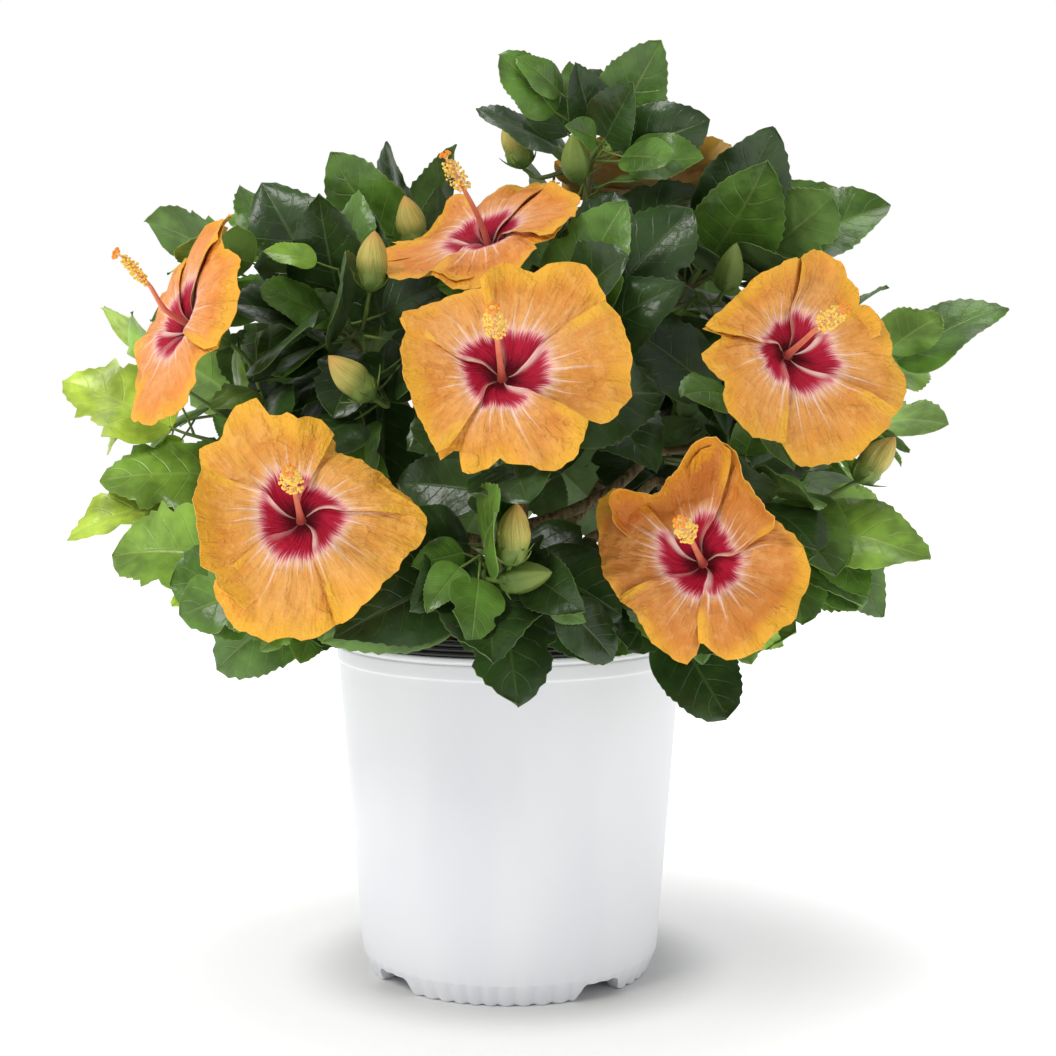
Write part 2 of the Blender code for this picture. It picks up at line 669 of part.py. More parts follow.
def facing_out(vertices, faces):
    """The same closed shape with its faces pointing out."""
    volume = 0.0
    for face in faces:
        for i in range(1, len(face) - 1):
            volume += vertices[face[0]].dot(vertices[face[i]].cross(vertices[face[i + 1]]))
    if volume < 0:
        faces = [tuple(reversed(face)) for face in faces]
    return vertices, faces


# ================================================================ making the solids
def fuse(name, solids, look):
    """Joins closed shapes into one solid by one union on a collection."""
    parts = bpy.data.collections.new(name + "_parts")
    bpy.context.scene.collection.children.link(parts)
    for i, (vertices, faces) in enumerate(solids[1:]):
        mesh_object(f"{name}_{i}", *facing_out(vertices, faces), parts)
    made = mesh_object(name, *facing_out(*solids[0]))
    union = made.modifiers.new("union", "BOOLEAN")
    union.operation = "UNION"
    union.operand_type = "COLLECTION"
    union.collection = parts
    depsgraph = bpy.context.evaluated_depsgraph_get()
    joined = bpy.data.meshes.new_from_object(made.evaluated_get(depsgraph))
    made.modifiers.clear()
    made.data = joined
    keep_largest(made.data)
    made.data.materials.append(look)
    for extra in list(parts.objects):
        bpy.data.objects.remove(extra)
    bpy.data.collections.remove(parts)
    return made


def keep_largest(mesh):
    """Drops loose scraps and sealed inner shells, which are all smaller than the main body."""
    work = bmesh.new()
    work.from_mesh(mesh)
    waiting = set(work.verts)
    bodies = []
    while waiting:
        body = [waiting.pop()]
        for vertex in body:
            for edge in vertex.link_edges:
                other = edge.other_vert(vertex)
                if other in waiting:
                    waiting.remove(other)
                    body.append(other)
        bodies.append(body)
    bodies.sort(key=len)
    for body in bodies[:-1]:
        bmesh.ops.delete(work, geom=body, context="VERTS")
    work.to_mesh(mesh)
    work.free()


def subtract(made, cutter):
    """Cuts one object with another and removes the cutter."""
    cut = made.modifiers.new("cut", "BOOLEAN")
    cut.operation = "DIFFERENCE"
    cut.object = cutter
    depsgraph = bpy.context.evaluated_depsgraph_get()
    left = bpy.data.meshes.new_from_object(made.evaluated_get(depsgraph))
    made.modifiers.clear()
    made.data = left
    bpy.data.objects.remove(cutter)


def wall_radius(height):
    """The outside radius of the pot's wall between its heel and its rim band."""
    share = (height - POT_HEEL_HEIGHT) / (POT_HEIGHT - POT_BAND_HEIGHT - POT_HEEL_HEIGHT)
    return POT_HEEL_RADIUS + (POT_WALL_RADIUS - POT_HEEL_RADIUS) * share


def make_pot():
    """The white pot: floor, flaring wall, rim band, and four notches round the foot."""
    band = POT_HEIGHT - POT_BAND_HEIGHT
    profile = [
        (0, 0), (POT_FOOT_RADIUS, 0), (POT_HEEL_RADIUS, POT_HEEL_HEIGHT), (POT_WALL_RADIUS, band),
        (POT_WALL_RADIUS + 0.0008, band + 0.0006), (POT_RIM_RADIUS, POT_HEIGHT - 0.0012),
        (POT_RIM_RADIUS - 0.0008, POT_HEIGHT), (wall_radius(POT_HEIGHT) - POT_WALL, POT_HEIGHT),
        (wall_radius(POT_FLOOR) - POT_WALL, POT_FLOOR), (0, POT_FLOOR)]
    pot = mesh_object("pot", *facing_out(*turned(profile, ROUND)))
    for bearing in NOTCH_BEARINGS:
        subtract(pot, notch_cutter(math.radians(bearing)))
    pot.data.materials.append(material("white_plastic", WHITE, 0.35))


def notch_cutter(bearing):
    """A block with sloping sides, across the foot at one bearing."""
    out = polar(1, bearing, 0)
    side = Vector((0, 0, 1)).cross(out)
    vertices = []
    for distance in (POT_FOOT_RADIUS - NOTCH_DEPTH, POT_HEEL_RADIUS + 0.01):
        for height, width in ((-0.005, NOTCH_FOOT_WIDTH), (NOTCH_HEIGHT, NOTCH_TOP_WIDTH)):
            for sign in (-1, 1):
                vertices.append(out * distance + side * (sign * width / 2) + Vector((0, 0, height)))
    faces = [(0, 1, 3, 2), (4, 6, 7, 5), (0, 4, 5, 1), (2, 3, 7, 6), (0, 2, 6, 4), (1, 5, 7, 3)]
    cutter = mesh_object("notch", *facing_out(vertices, faces))
    cutter.hide_render = True
    cutter.display_type = "WIRE"
    return cutter


def liner_radius(height):
    """The outside radius of the liner, which hangs just inside the pot's wall."""
    return wall_radius(height) - POT_WALL - GAP / math.cos(math.pi / ROUND)


def make_liner():
    """The black liner: floor, wall, and a lip with two beads that stands above the pot."""
    floor = POT_FLOOR + GAP
    inside = floor + LINER_WALL
    lip = POT_HEIGHT + GAP
    top = liner_radius(LINER_HEIGHT)
    profile = [
        (0, floor), (liner_radius(floor), floor), (liner_radius(lip), lip), (top + LINER_LIP, lip + 0.002),
        (top + LINER_LIP, lip + 0.007), (top, LINER_HEIGHT), (top - LINER_WALL, LINER_HEIGHT),
        (liner_radius(inside) - LINER_WALL, inside), (0, inside)]
    liner = mesh_object("liner", *facing_out(*turned(profile, ROUND)))
    liner.data.materials.append(material("black_plastic", BLACK, 0.45))


def make_soil():
    """The potting soil, filling the liner to a little below its lip."""
    low = POT_FLOOR + LINER_WALL + 2 * GAP
    inset = LINER_WALL + GAP / math.cos(math.pi / ROUND)
    profile = [
        (0, low), (liner_radius(low) - inset, low), (liner_radius(SOIL_HEIGHT) - inset, SOIL_HEIGHT),
        (0, SOIL_HEIGHT)]
    soil = mesh_object("soil", *facing_out(*turned(profile, ROUND)))
    soil.data.materials.append(material("soil", SOIL, 0.95))


def add_openings(space, masses):
    """What no leaf may cross: narrow cones through the crown, and the air before each bloom's face."""
    for x, z, radius in OPENINGS:
        sight = Vector((x, 0, z)) - VIEWPOINT
        near = 1 - OPENING_DEPTH
        far = 1 + OPENING_DEPTH
        for share in (1.0, 0.5):
            widths = (radius * near * share, radius * far * share)
            space.add(*tube((VIEWPOINT + sight * near, VIEWPOINT + sight * far), widths, 6), "openings")
    for mass in masses:
        if mass.plan["bloom"]:
            throat, face = (Vector(value) for value in mass.plan["bloom"][:2])
            axis = face.normalized()
            path = [throat + axis * height for height, _ in BLOOM_AIR]
            space.add(*tube(path, [share * BLOOM_RADIUS for _, share in BLOOM_AIR], 12), "openings")


def trunk_centre(height):
    """The middle of the trunk, which stands upright at its foot and then leans."""
    foot = SOIL_HEIGHT + TRUNK_FOOT
    share = max(height - foot, 0) / (TRUNK_TOP - foot)
    return Vector((TRUNK_LEAN[0] * share, TRUNK_LEAN[1] * share, height))


def trunk_shape(extra):
    """The trunk, or the same shape fattened by `extra`."""
    heights = (SOIL_HEIGHT + GAP, SOIL_HEIGHT + TRUNK_FOOT, SOIL_HEIGHT + 0.018,
               0.5 * (SOIL_HEIGHT + TRUNK_TOP), TRUNK_TOP)
    flares = (1.0, 0.45, 0.10, 0.0, -0.25)
    points = [trunk_centre(height) for height in heights]
    points[-1] += Vector((0, 0, extra))
    return tube(points, [TRUNK_RADIUS + TRUNK_FLARE * flare + extra for flare in flares], 10)


def bough_path(number, count, tip, heading):
    """A bough's curve: out of the trunk towards its tip, rising, then straight into its mass."""
    height = FORK_LOW + (FORK_HIGH - FORK_LOW) * number / (count - 1)
    root = trunk_centre(height)
    out = Vector((tip.x - root.x, tip.y - root.y, 0))
    lift = max(tip.z - height, 0.0)
    middle = root + out * 0.62 + Vector((0, 0, 0.30 * lift))
    path = curve_points(root, middle, tip - heading * BOUGH_END, BOUGH_STEPS)
    path.append(tip)
    return path


def make_plant():
    """The trunk, the boughs and the masses of foliage."""
    bark = material("bark", BARK, 0.8)
    green = material("leaf_green", LEAF_GREEN, 0.35)
    space = Space()
    trunk = mesh_object("trunk", *facing_out(*trunk_shape(0.0)))
    trunk.data.materials.append(bark)
    space.add(*trunk_shape(0.0), "limbs")
    masses = [Mass(name, plan) for name, plan in MASSES.items()]
    by_height = sorted(masses, key=lambda mass: mass.plan["bough"][2])
    for number, mass in enumerate(by_height):
        path = bough_path(number, len(masses), Vector(mass.plan["bough"]), mass.heading)
        radii = tapering(BOUGH_RADIUS, BOUGH_TIP_RADIUS, len(path))
        shape = facing_out(*tube(path, radii, BOUGH_SIDES))
        bough = mesh_object("bough_" + mass.name, *shape)
        subtract(bough, mesh_object("cutter", *facing_out(*trunk_shape(GAP))))
        bough.data.materials.append(bark)
        space.add(*shape, "limbs")
    for mass in masses:
        mass.grow_bloom(space)
    for mass in masses:
        mass.grow_shoots(space)
    for mass in masses:
        mass.grow_end_leaves(space)
    add_openings(space, masses)
    for mass in masses:
        mass.grow_leaves(space)
    for mass in masses:
        fuse("foliage_" + mass.name, mass.solids, green)


def main():
    for old in list(bpy.data.objects):
        bpy.data.objects.remove(old)
    make_pot()
    make_liner()
    make_soil()
    make_plant()


main()
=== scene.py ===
"""A hibiscus shrub in bloom in its white nursery pot: the render.  Metres, +Z up.

The limbs, shoots and leaves grow by the same seeded rule as the solids, and are then carried to
finer twigs and smaller leaves.  Every leaf, petal, bud and column is a mesh in its own outline.
"""
import math
import random
from itertools import product

import bmesh
import bpy
import numpy as np
from mathutils import Matrix, Vector, noise
from mathutils.bvhtree import BVHTree


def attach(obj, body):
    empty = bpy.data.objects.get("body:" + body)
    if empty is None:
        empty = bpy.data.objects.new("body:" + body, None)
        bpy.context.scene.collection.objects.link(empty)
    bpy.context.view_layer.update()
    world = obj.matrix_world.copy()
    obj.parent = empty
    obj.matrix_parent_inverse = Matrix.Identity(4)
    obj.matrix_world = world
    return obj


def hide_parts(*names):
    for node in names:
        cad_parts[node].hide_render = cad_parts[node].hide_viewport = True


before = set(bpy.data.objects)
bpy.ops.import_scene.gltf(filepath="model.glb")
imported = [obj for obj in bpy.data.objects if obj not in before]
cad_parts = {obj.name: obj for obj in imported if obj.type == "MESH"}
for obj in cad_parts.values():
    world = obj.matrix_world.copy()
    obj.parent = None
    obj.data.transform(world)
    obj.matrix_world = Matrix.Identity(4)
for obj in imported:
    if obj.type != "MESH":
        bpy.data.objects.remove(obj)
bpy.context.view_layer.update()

# ---------------------------------------------------------------- pot, liner and soil
GAP = 0.0003                    # clearance between neighbouring solids
ROUND = 36                      # sides of the pot in the solids, inside whose flats the liner stays
AXIS_HOLE = 0.0002              # the radius at which a turned profile ends on its axis
POT_HEIGHT = 0.224
POT_RIM_RADIUS = 0.1146         # outside, at the top edge
POT_WALL_RADIUS = 0.1136        # outside, below the band
POT_HEEL_RADIUS = 0.0990
POT_FOOT_RADIUS = 0.0930
POT_FOOT_INSIDE = 0.084         # inner edge of the ring that the pot stands on
POT_HEEL_HEIGHT = 0.0145
POT_BAND_HEIGHT = 0.0145
POT_WALL = 0.0022
POT_FLOOR = 0.0135
POT_UNDERSIDE = 0.0095          # the floor's underside, and the radius to which it is flat
POT_UNDERSIDE_RADIUS = 0.080
POT_EASED = 0.0012              # rounding of the pot's edges
NOTCH_BEARINGS = (-142.0, -52.0, 38.0, 128.0)
NOTCH_HEIGHT = 0.011
NOTCH_FOOT_WIDTH = 0.040
NOTCH_TOP_WIDTH = 0.026
NOTCH_EASED = 0.003
POT_SHARP = 32                  # degrees over which an edge is shaded as sharp
FLUTES = 54                     # shallow hollows round the foot and heel
FLUTE_SIDES = 6                 # sides of the turned pot for each flute
FLUTE_DEPTH = 0.0012
FLUTE_SCALLOP = 0.0009          # how far the foot's lower edge rises in a flute
FLUTE_END = POT_HEEL_HEIGHT + 0.008
LINER_HEIGHT = 0.2345
LINER_WALL = 0.0016
LINER_LIP = 0.0014
LINER_BEADS = 3
SOIL_HEIGHT = 0.222
SOIL_LUMPS = ((0.0022, 60), (0.0014, 170), (0.0008, 420))       # height, and how fine
CHIPS = 420                     # bark chips and grains of perlite on the soil
PERLITE_EVERY = 6

# ---------------------------------------------------------------- limbs
TRUNK_RADIUS = 0.0095
TRUNK_FLARE = 0.0050            # added at the soil
TRUNK_FOOT = 0.006
TRUNK_TOP = 0.335
TRUNK_LEAN = (0.004, -0.003)
BOUGH_RADIUS = 0.0042
BOUGH_TIP_RADIUS = 0.0031
BOUGH_COLLAR = 0.0022           # added where a bough leaves the trunk
BOUGH_SIDES = 5
BOUGH_STEPS = 4
BOUGH_END = 0.010               # the straight end that leads into the mass
BOUGH_BEND = (0.62, 0.30)       # the curve's middle: share of the way out, and of the rise
FORK_LOW = 0.240
FORK_HIGH = 0.326
COLLAR_LENGTH = 0.012

# ---------------------------------------------------------------- shoots and leaves
TWIG_SIDES = 3
STEM_RADIUS = 0.0028
SHOOT_RADIUS = 0.0022
SHOOT_TIP_RADIUS = 0.0013
SHOOT_STEPS = 3
SHOOT_LEAST = 0.15              # a shoot's least share of the way to its tip
SHOOT_BOW = 0.10
STEM_SHARE = 0.30               # how far a stem runs from its bough to the middle of its tips
STEM_LEAVES = 9                 # shoots are numbered from 0; leaves on a stem have this number,
BLOOM_LEAVES = 10               # those on a bloom's stalk this one,
BUD_LEAVES = 11                 # those on buds' stalks this one and up,
BOUGH_LEAVES = 20               # and those on a bough this one
LEAF_LENGTH = 0.080
LEAF_SPREAD = 0.14
LEAF_HALF_WIDTH = 0.395         # of the length
LEAF_THICKNESS = 0.0014
LEAF_DROOP = 0.16
LEAF_FOLD = 0.20
LEAF_PULLS = (0.75, 0.35, 0.45, -0.18)  # heading: out of the shoot, along it, out of the crown, down
STALK_PULLS = (0.8, 0.5, 0.2)   # petiole: out of the shoot, along it, along the leaf
BLADE = ((0.20, 0.92), (0.62, 0.84))
SMALL_BLADE = ((0.36, 1.0),)
SMALL_LEAF = 0.070
UPPER_SHARE = 0.18              # a shoot's topmost leaves are shorter by this
PETIOLE = 0.026
PETIOLE_RADIUS = 0.0010
END_PETIOLE = 0.4               # of a petiole, for the leaf at a shoot's end
GOLDEN_TURN = math.radians(137.5)
TURNS = (0.0, 0.5, -0.5, 1.0, -1.0, 1.6, -1.6)
CLEARANCE = 0.0007
NODE_SPACING = 0.0255
SIZES = (1.0, 0.78, 0.6)
CROWN_CENTRE = Vector((0.01, 0.0, 0.366))
CROWN_RADII = (0.31, 0.27, 0.235)
CROWN_SKIRT = 0.228
POT_CLEAR = (0.012, 0.015)      # leaves stay this far above the liner, or outside the pot's rim
HIGH_LEAVES = (0.44, 0.54)      # heights over which the leaves come to face outwards

UP = Vector((0, 0, 1))
ASKEW = Vector((0.31, 0.23, 0.92))      # where a ring round a tube starts
LEAF_START = Vector((0.3, 0.2, 0.9))    # where the turning of leaves round a shoot starts

# Openings that stay free, seen from in front: each a (x, z, radius) on the plane y = 0.
VIEWPOINT = Vector((0.012, -1.278, 0.404))
OPENINGS = (
    (-0.268, 0.422, 0.011), (-0.283, 0.343, 0.012), (-0.249, 0.336, 0.005), (-0.270, 0.298, 0.010),
    (-0.201, 0.358, 0.006), (-0.213, 0.308, 0.006), (-0.233, 0.281, 0.008), (-0.246, 0.240, 0.016),
    (-0.202, 0.389, 0.007), (-0.187, 0.418, 0.004), (-0.259, 0.481, 0.014), (-0.195, 0.513, 0.008),
    (-0.137, 0.513, 0.008), (-0.019, 0.545, 0.010), (0.002, 0.525, 0.005), (0.030, 0.537, 0.004),
    (0.011, 0.479, 0.005), (0.073, 0.579, 0.005), (0.130, 0.544, 0.004), (0.204, 0.542, 0.008),
    (0.229, 0.479, 0.005), (0.250, 0.485, 0.007), (0.247, 0.446, 0.008), (0.281, 0.376, 0.017),
    (0.233, 0.345, 0.004), (0.207, 0.325, 0.005), (0.267, 0.306, 0.007), (0.219, 0.228, 0.014),
    (0.247, 0.216, 0.012))
OPENING_DEPTH = 0.22            # how far each reaches before and behind the plane, of its distance
BLOOM_AIR = ((0.004, 1.10), (0.020, 1.14), (0.045, 0.60))   # free before a face: height, share of radius

# ---------------------------------------------------------------- blooms and buds
BLOOM_RADIUS = 0.068
PETALS = 5
PETAL_STEPS = 3
PETAL_THICKNESS = 0.0016
THROAT_RADIUS = 0.0065
THROAT_DEPTH = 0.014
THROAT_FLOOR = 0.0016
CALYX_BELOW = 0.024             # from the throat's floor down to the calyx's foot
COLUMN = 0.060
COLUMN_SHAPE = ((0.66, 0.0014), (0.80, 0.0072), (1.0, 0.0020))
BUD_LENGTH = 0.037
BLOOM_STALK_RADII = (0.0017, 0.0015, 0.0014, 0.0040, 0.0072)
BUD_RADII = (0.0013, 0.0011, 0.0013, 0.0080, 0.0090, 0.0010)
BUD_SHARES = (0.22, 0.55, 1.0)

# ---------------------------------------------------------------- what is finer than the solids
FINE_SPACING = 0.034            # between the smaller leaves along a shoot
FINE_LENGTHS = (0.034, 0.066)
INNER_SPACING = 0.016           # between the leaves along a bough
INNER_LENGTHS = (0.050, 0.078)
FINE_YOUNG = 0.25               # how young the smaller leaves look, from 0 to 1
SIDE_SHOOT = 0.034
SIDE_SHOOT_AT = 0.62            # how far up a shoot
SIDE_SHOOT_RADII = (0.0010, 0.0008, 0.0006)
SIDE_LEAVES = ((0.50, 0.056, 0.3), (0.85, 0.046, 0.5), (1.0, 0.032, 0.7))   # share, length, how young
SCREENED = ((0.103, 0.375), (0.096, 0.332), (0.078, 0.339))     # sights, as (x, z), that leaves close
SCREEN_LENGTHS = (0.080, 0.066, 0.054)
SCREEN_REACH = 0.09             # from a shoot to the line of sight that its leaf hangs across
SCREEN_PETIOLE = 0.045
# The score partly stands for painted light and shade: deep greens inside the crown, lighter ones outside
# and on the left.
TINTS = (("deep", 0.10), ("mid", 0.42), ("light", 0.85))        # the scores below which leaves have each
BLADE_ROWS = 29
BLADE_COLUMNS = (-1.0, -0.82, -0.58, -0.32, -0.10, 0.0, 0.10, 0.32, 0.58, 0.82, 1.0)
BLADE_SKIN = 0.00040
VEINS = 6.5                     # lateral veins on each side of a leaf
VEIN_SLOPE = 0.24
BLADE_SWING = 0.026             # of the length: the waves along the blade's sides,
BLADE_QUILT = 0.015             # its swelling between the veins,
MIDRIB_GROOVE = 0.005           # and the depth of its midrib
TEETH_FROM = 0.36
TEETH = (0.034, -0.030)         # how far a tooth stands out, and the notch after it goes in
TEETH_FORWARD = (0.40, -0.10)
LOBED_FROM = -0.10              # leaves are more lobed from this x to the left,
LOBED_OVER = 0.12               # fully this much further
PETAL_ROWS = 34
PETAL_COLUMNS = 35
PETAL_SKIN = 0.00038
PETAL_TWIST = 22                # degrees, in the throat
CRUMPLE = 0.0011
CRUMPLE_FINE = 85
PETAL_START = 0.0034            # the radius at which petals begin
SWELLS = (                      # waves round a bloom, as their number and height
    (2, 0.0030), (3, 0.0032), (5, 0.0026), (8, 0.0018), (13, 0.0013), (21, 0.0008), (34, 0.0004))
WRINKLES = ((55, 0.00022), (89, 0.00014))
RUFFLES = ((17, 0.009), (41, 0.006))    # waves along a petal's rim, of its reach
ANTHERS = 84
BUD_RADIUS = 0.0094
UNRIPE_RADIUS = 0.0086
RAY_START = 0.26                # of a petal's length
RAYS = (                        # count, width, least reach, what is added to it, strength
    (9.0, 0.12, 0.44, 0.36, 0.85),
    (21.0, 0.16, 0.38, 0.22, 0.60))
STALK_RADII = (0.00125, 0.00100, 0.00095, 0.00095, 0.00090, 0.00055)
BRACTS = 7
BRACT_RADII = (0.0006, 0.0007, 0.0007, 0.0006, 0.0004, 0.0002)
CALYX_SKIN = 0.0004
COLUMN_RADII = (
    0.0030, 0.0023, 0.0020, 0.0018, 0.0017, 0.0016, 0.0015,
    0.0014, 0.0013, 0.0012, 0.0011, 0.0010, 0.0008)
COLUMN_TIP = 0.955              # where the stigmas part, of the column's length
ANTHERS_FROM = 0.62
ANTHERS_OVER = 0.30
FILAMENT = 0.0062
ANTHER = 0.00105
STIGMA = 0.00155

# ---------------------------------------------------------------- the view
CAMERA = (0.0122, -1.278, 0.404)
FLOOR_REACH = 6.0
CAMERA_PITCH = 4.9              # degrees below the horizon
CAMERA_SENSOR = 36.0
CAMERA_LENS = CAMERA_SENSOR * 1931.0 / 1056.0

MASSES = {
    "front_left": dict(
        bough=(-0.062, -0.098, 0.294), seed=3,
        tips=((-0.247, -0.080, 0.289), (-0.205, -0.115, 0.268), (-0.182, -0.100, 0.218),
              (-0.078, -0.172, 0.254), (-0.120, -0.150, 0.231)),
        bloom=((-0.116, -0.200, 0.320), (0.02, -0.90, 0.38)),
        buds=()),
    "front": dict(
        bough=(-0.010, -0.105, 0.306), seed=5,
        tips=((-0.010, -0.245, 0.240), (0.006, -0.205, 0.214), (0.068, -0.180, 0.262),
              (-0.001, -0.205, 0.330), (-0.060, -0.190, 0.306)),
        bloom=((-0.003, -0.205, 0.401), (-0.06, -0.88, 0.47)),
        buds=(((0.006, -0.230, 0.328), (0.1, -0.3, 0.95)), ((0.030, -0.222, 0.290), (0.8, -0.4, 0.2)))),
    "front_right": dict(
        bough=(0.062, -0.095, 0.278), seed=7,
        tips=((0.132, -0.150, 0.194), (0.062, -0.150, 0.229), (0.170, -0.150, 0.241),
              (0.190, -0.130, 0.276)),
        bloom=((0.108, -0.200, 0.295), (-0.25, -0.88, 0.34)),
        buds=()),
    "right_front": dict(
        bough=(0.100, -0.060, 0.326), seed=9,
        tips=((0.249, -0.140, 0.287), (0.235, -0.080, 0.321), (0.239, -0.040, 0.249),
              (0.150, -0.135, 0.341)),
        bloom=((0.170, -0.140, 0.412), (0.32, -0.86, 0.30)),
        buds=(((0.240, -0.080, 0.358), (0.6, -0.2, 0.75)),)),
    "right": dict(
        bough=(0.105, 0.012, 0.345), seed=11,
        tips=((0.326, 0.000, 0.443), (0.250, 0.030, 0.458), (0.300, 0.060, 0.366),
              (0.262, 0.055, 0.292), (0.205, 0.010, 0.262)),
        bloom=None,
        buds=()),
    "left": dict(
        bough=(-0.110, -0.020, 0.331), seed=13,
        tips=((-0.295, 0.000, 0.393), (-0.262, -0.040, 0.329), (-0.283, -0.050, 0.297),
              (-0.284, 0.055, 0.441), (-0.235, 0.045, 0.290), (-0.180, 0.020, 0.258)),
        bloom=((-0.204, -0.085, 0.430), (-0.767, -0.556, 0.361), (-0.46, -0.60, 0.65)),
        buds=()),
    "left_top": dict(
        bough=(-0.080, 0.000, 0.391), seed=15,
        tips=((-0.160, 0.000, 0.523), (-0.246, 0.065, 0.501), (-0.122, -0.050, 0.511),
              (-0.172, -0.070, 0.442), (-0.096, -0.135, 0.453)),
        bloom=None,
        buds=(((-0.106, -0.130, 0.408), (-0.6, -0.2, 0.6)),
              ((-0.080, -0.105, 0.483), (0.1, -0.2, 0.9)))),
    "top_left": dict(
        bough=(-0.040, 0.030, 0.426), seed=17,
        tips=((-0.119, 0.020, 0.542), (-0.083, 0.030, 0.551), (-0.038, 0.060, 0.551),
              (-0.140, 0.070, 0.506)),
        bloom=None,
        buds=(((-0.068, -0.010, 0.512), (-0.2, -0.2, 0.9)),)),
    "upper": dict(
        bough=(0.010, -0.060, 0.401), seed=19,
        tips=((0.104, -0.110, 0.451), (0.085, -0.150, 0.345), (0.112, -0.070, 0.500),
              (-0.060, -0.120, 0.351)),
        bloom=((-0.016, -0.075, 0.485), (-0.34, -0.44, 0.83), (-0.36, -0.62, 0.70)),
        buds=()),
    "top": dict(
        bough=(0.045, 0.008, 0.456), seed=21, stem=0.62,
        tips=((0.004, 0.000, 0.594), (0.099, -0.040, 0.605), (-0.022, -0.025, 0.564),
              (0.124, -0.050, 0.554), (0.060, 0.018, 0.598), (0.080, -0.062, 0.576)),
        bloom=None,
        buds=(((0.000, 0.000, 0.566), (-0.25, -0.2, 0.95)),
              ((0.040, -0.052, 0.552), (-0.1, -0.45, 0.88)))),
    "top_right": dict(
        bough=(0.085, 0.030, 0.421), seed=23,
        tips=((0.170, -0.010, 0.556), (0.166, -0.050, 0.528), (0.217, 0.030, 0.522),
              (0.250, 0.000, 0.506)),
        bloom=((0.094, 0.058, 0.528), (0.02, 0.48, 0.88)),
        buds=(((0.145, -0.050, 0.484), (0.2, -0.3, 0.9)),)),
    "back_right": dict(
        bough=(0.075, 0.085, 0.326), seed=25,
        tips=((0.270, 0.100, 0.426), (0.262, 0.130, 0.306), (0.190, 0.190, 0.258),
              (0.100, 0.245, 0.326), (0.150, 0.155, 0.484)),
        bloom=((0.165, 0.192, 0.391), (0.62, 0.70, 0.35)),
        buds=(((0.232, 0.130, 0.356), (0.8, 0.3, 0.4)),)),
    "back": dict(
        bough=(0.000, 0.105, 0.341), seed=27,
        tips=((0.088, 0.228, 0.368), (-0.078, 0.235, 0.338), (0.005, 0.245, 0.274),
              (0.050, 0.165, 0.506), (-0.078, 0.155, 0.501)),
        bloom=((-0.012, 0.222, 0.421), (-0.05, 0.88, 0.46)),
        buds=(((0.050, 0.228, 0.328), (0.3, 0.7, 0.6)),)),
    "back_left": dict(
        bough=(-0.075, 0.080, 0.321), seed=29,
        tips=((-0.262, 0.100, 0.421), (-0.265, 0.095, 0.316), (-0.190, 0.188, 0.238),
              (-0.090, 0.238, 0.281), (-0.160, 0.130, 0.478)),
        bloom=((-0.165, 0.172, 0.368), (-0.66, 0.66, 0.35)),
        buds=()),
}

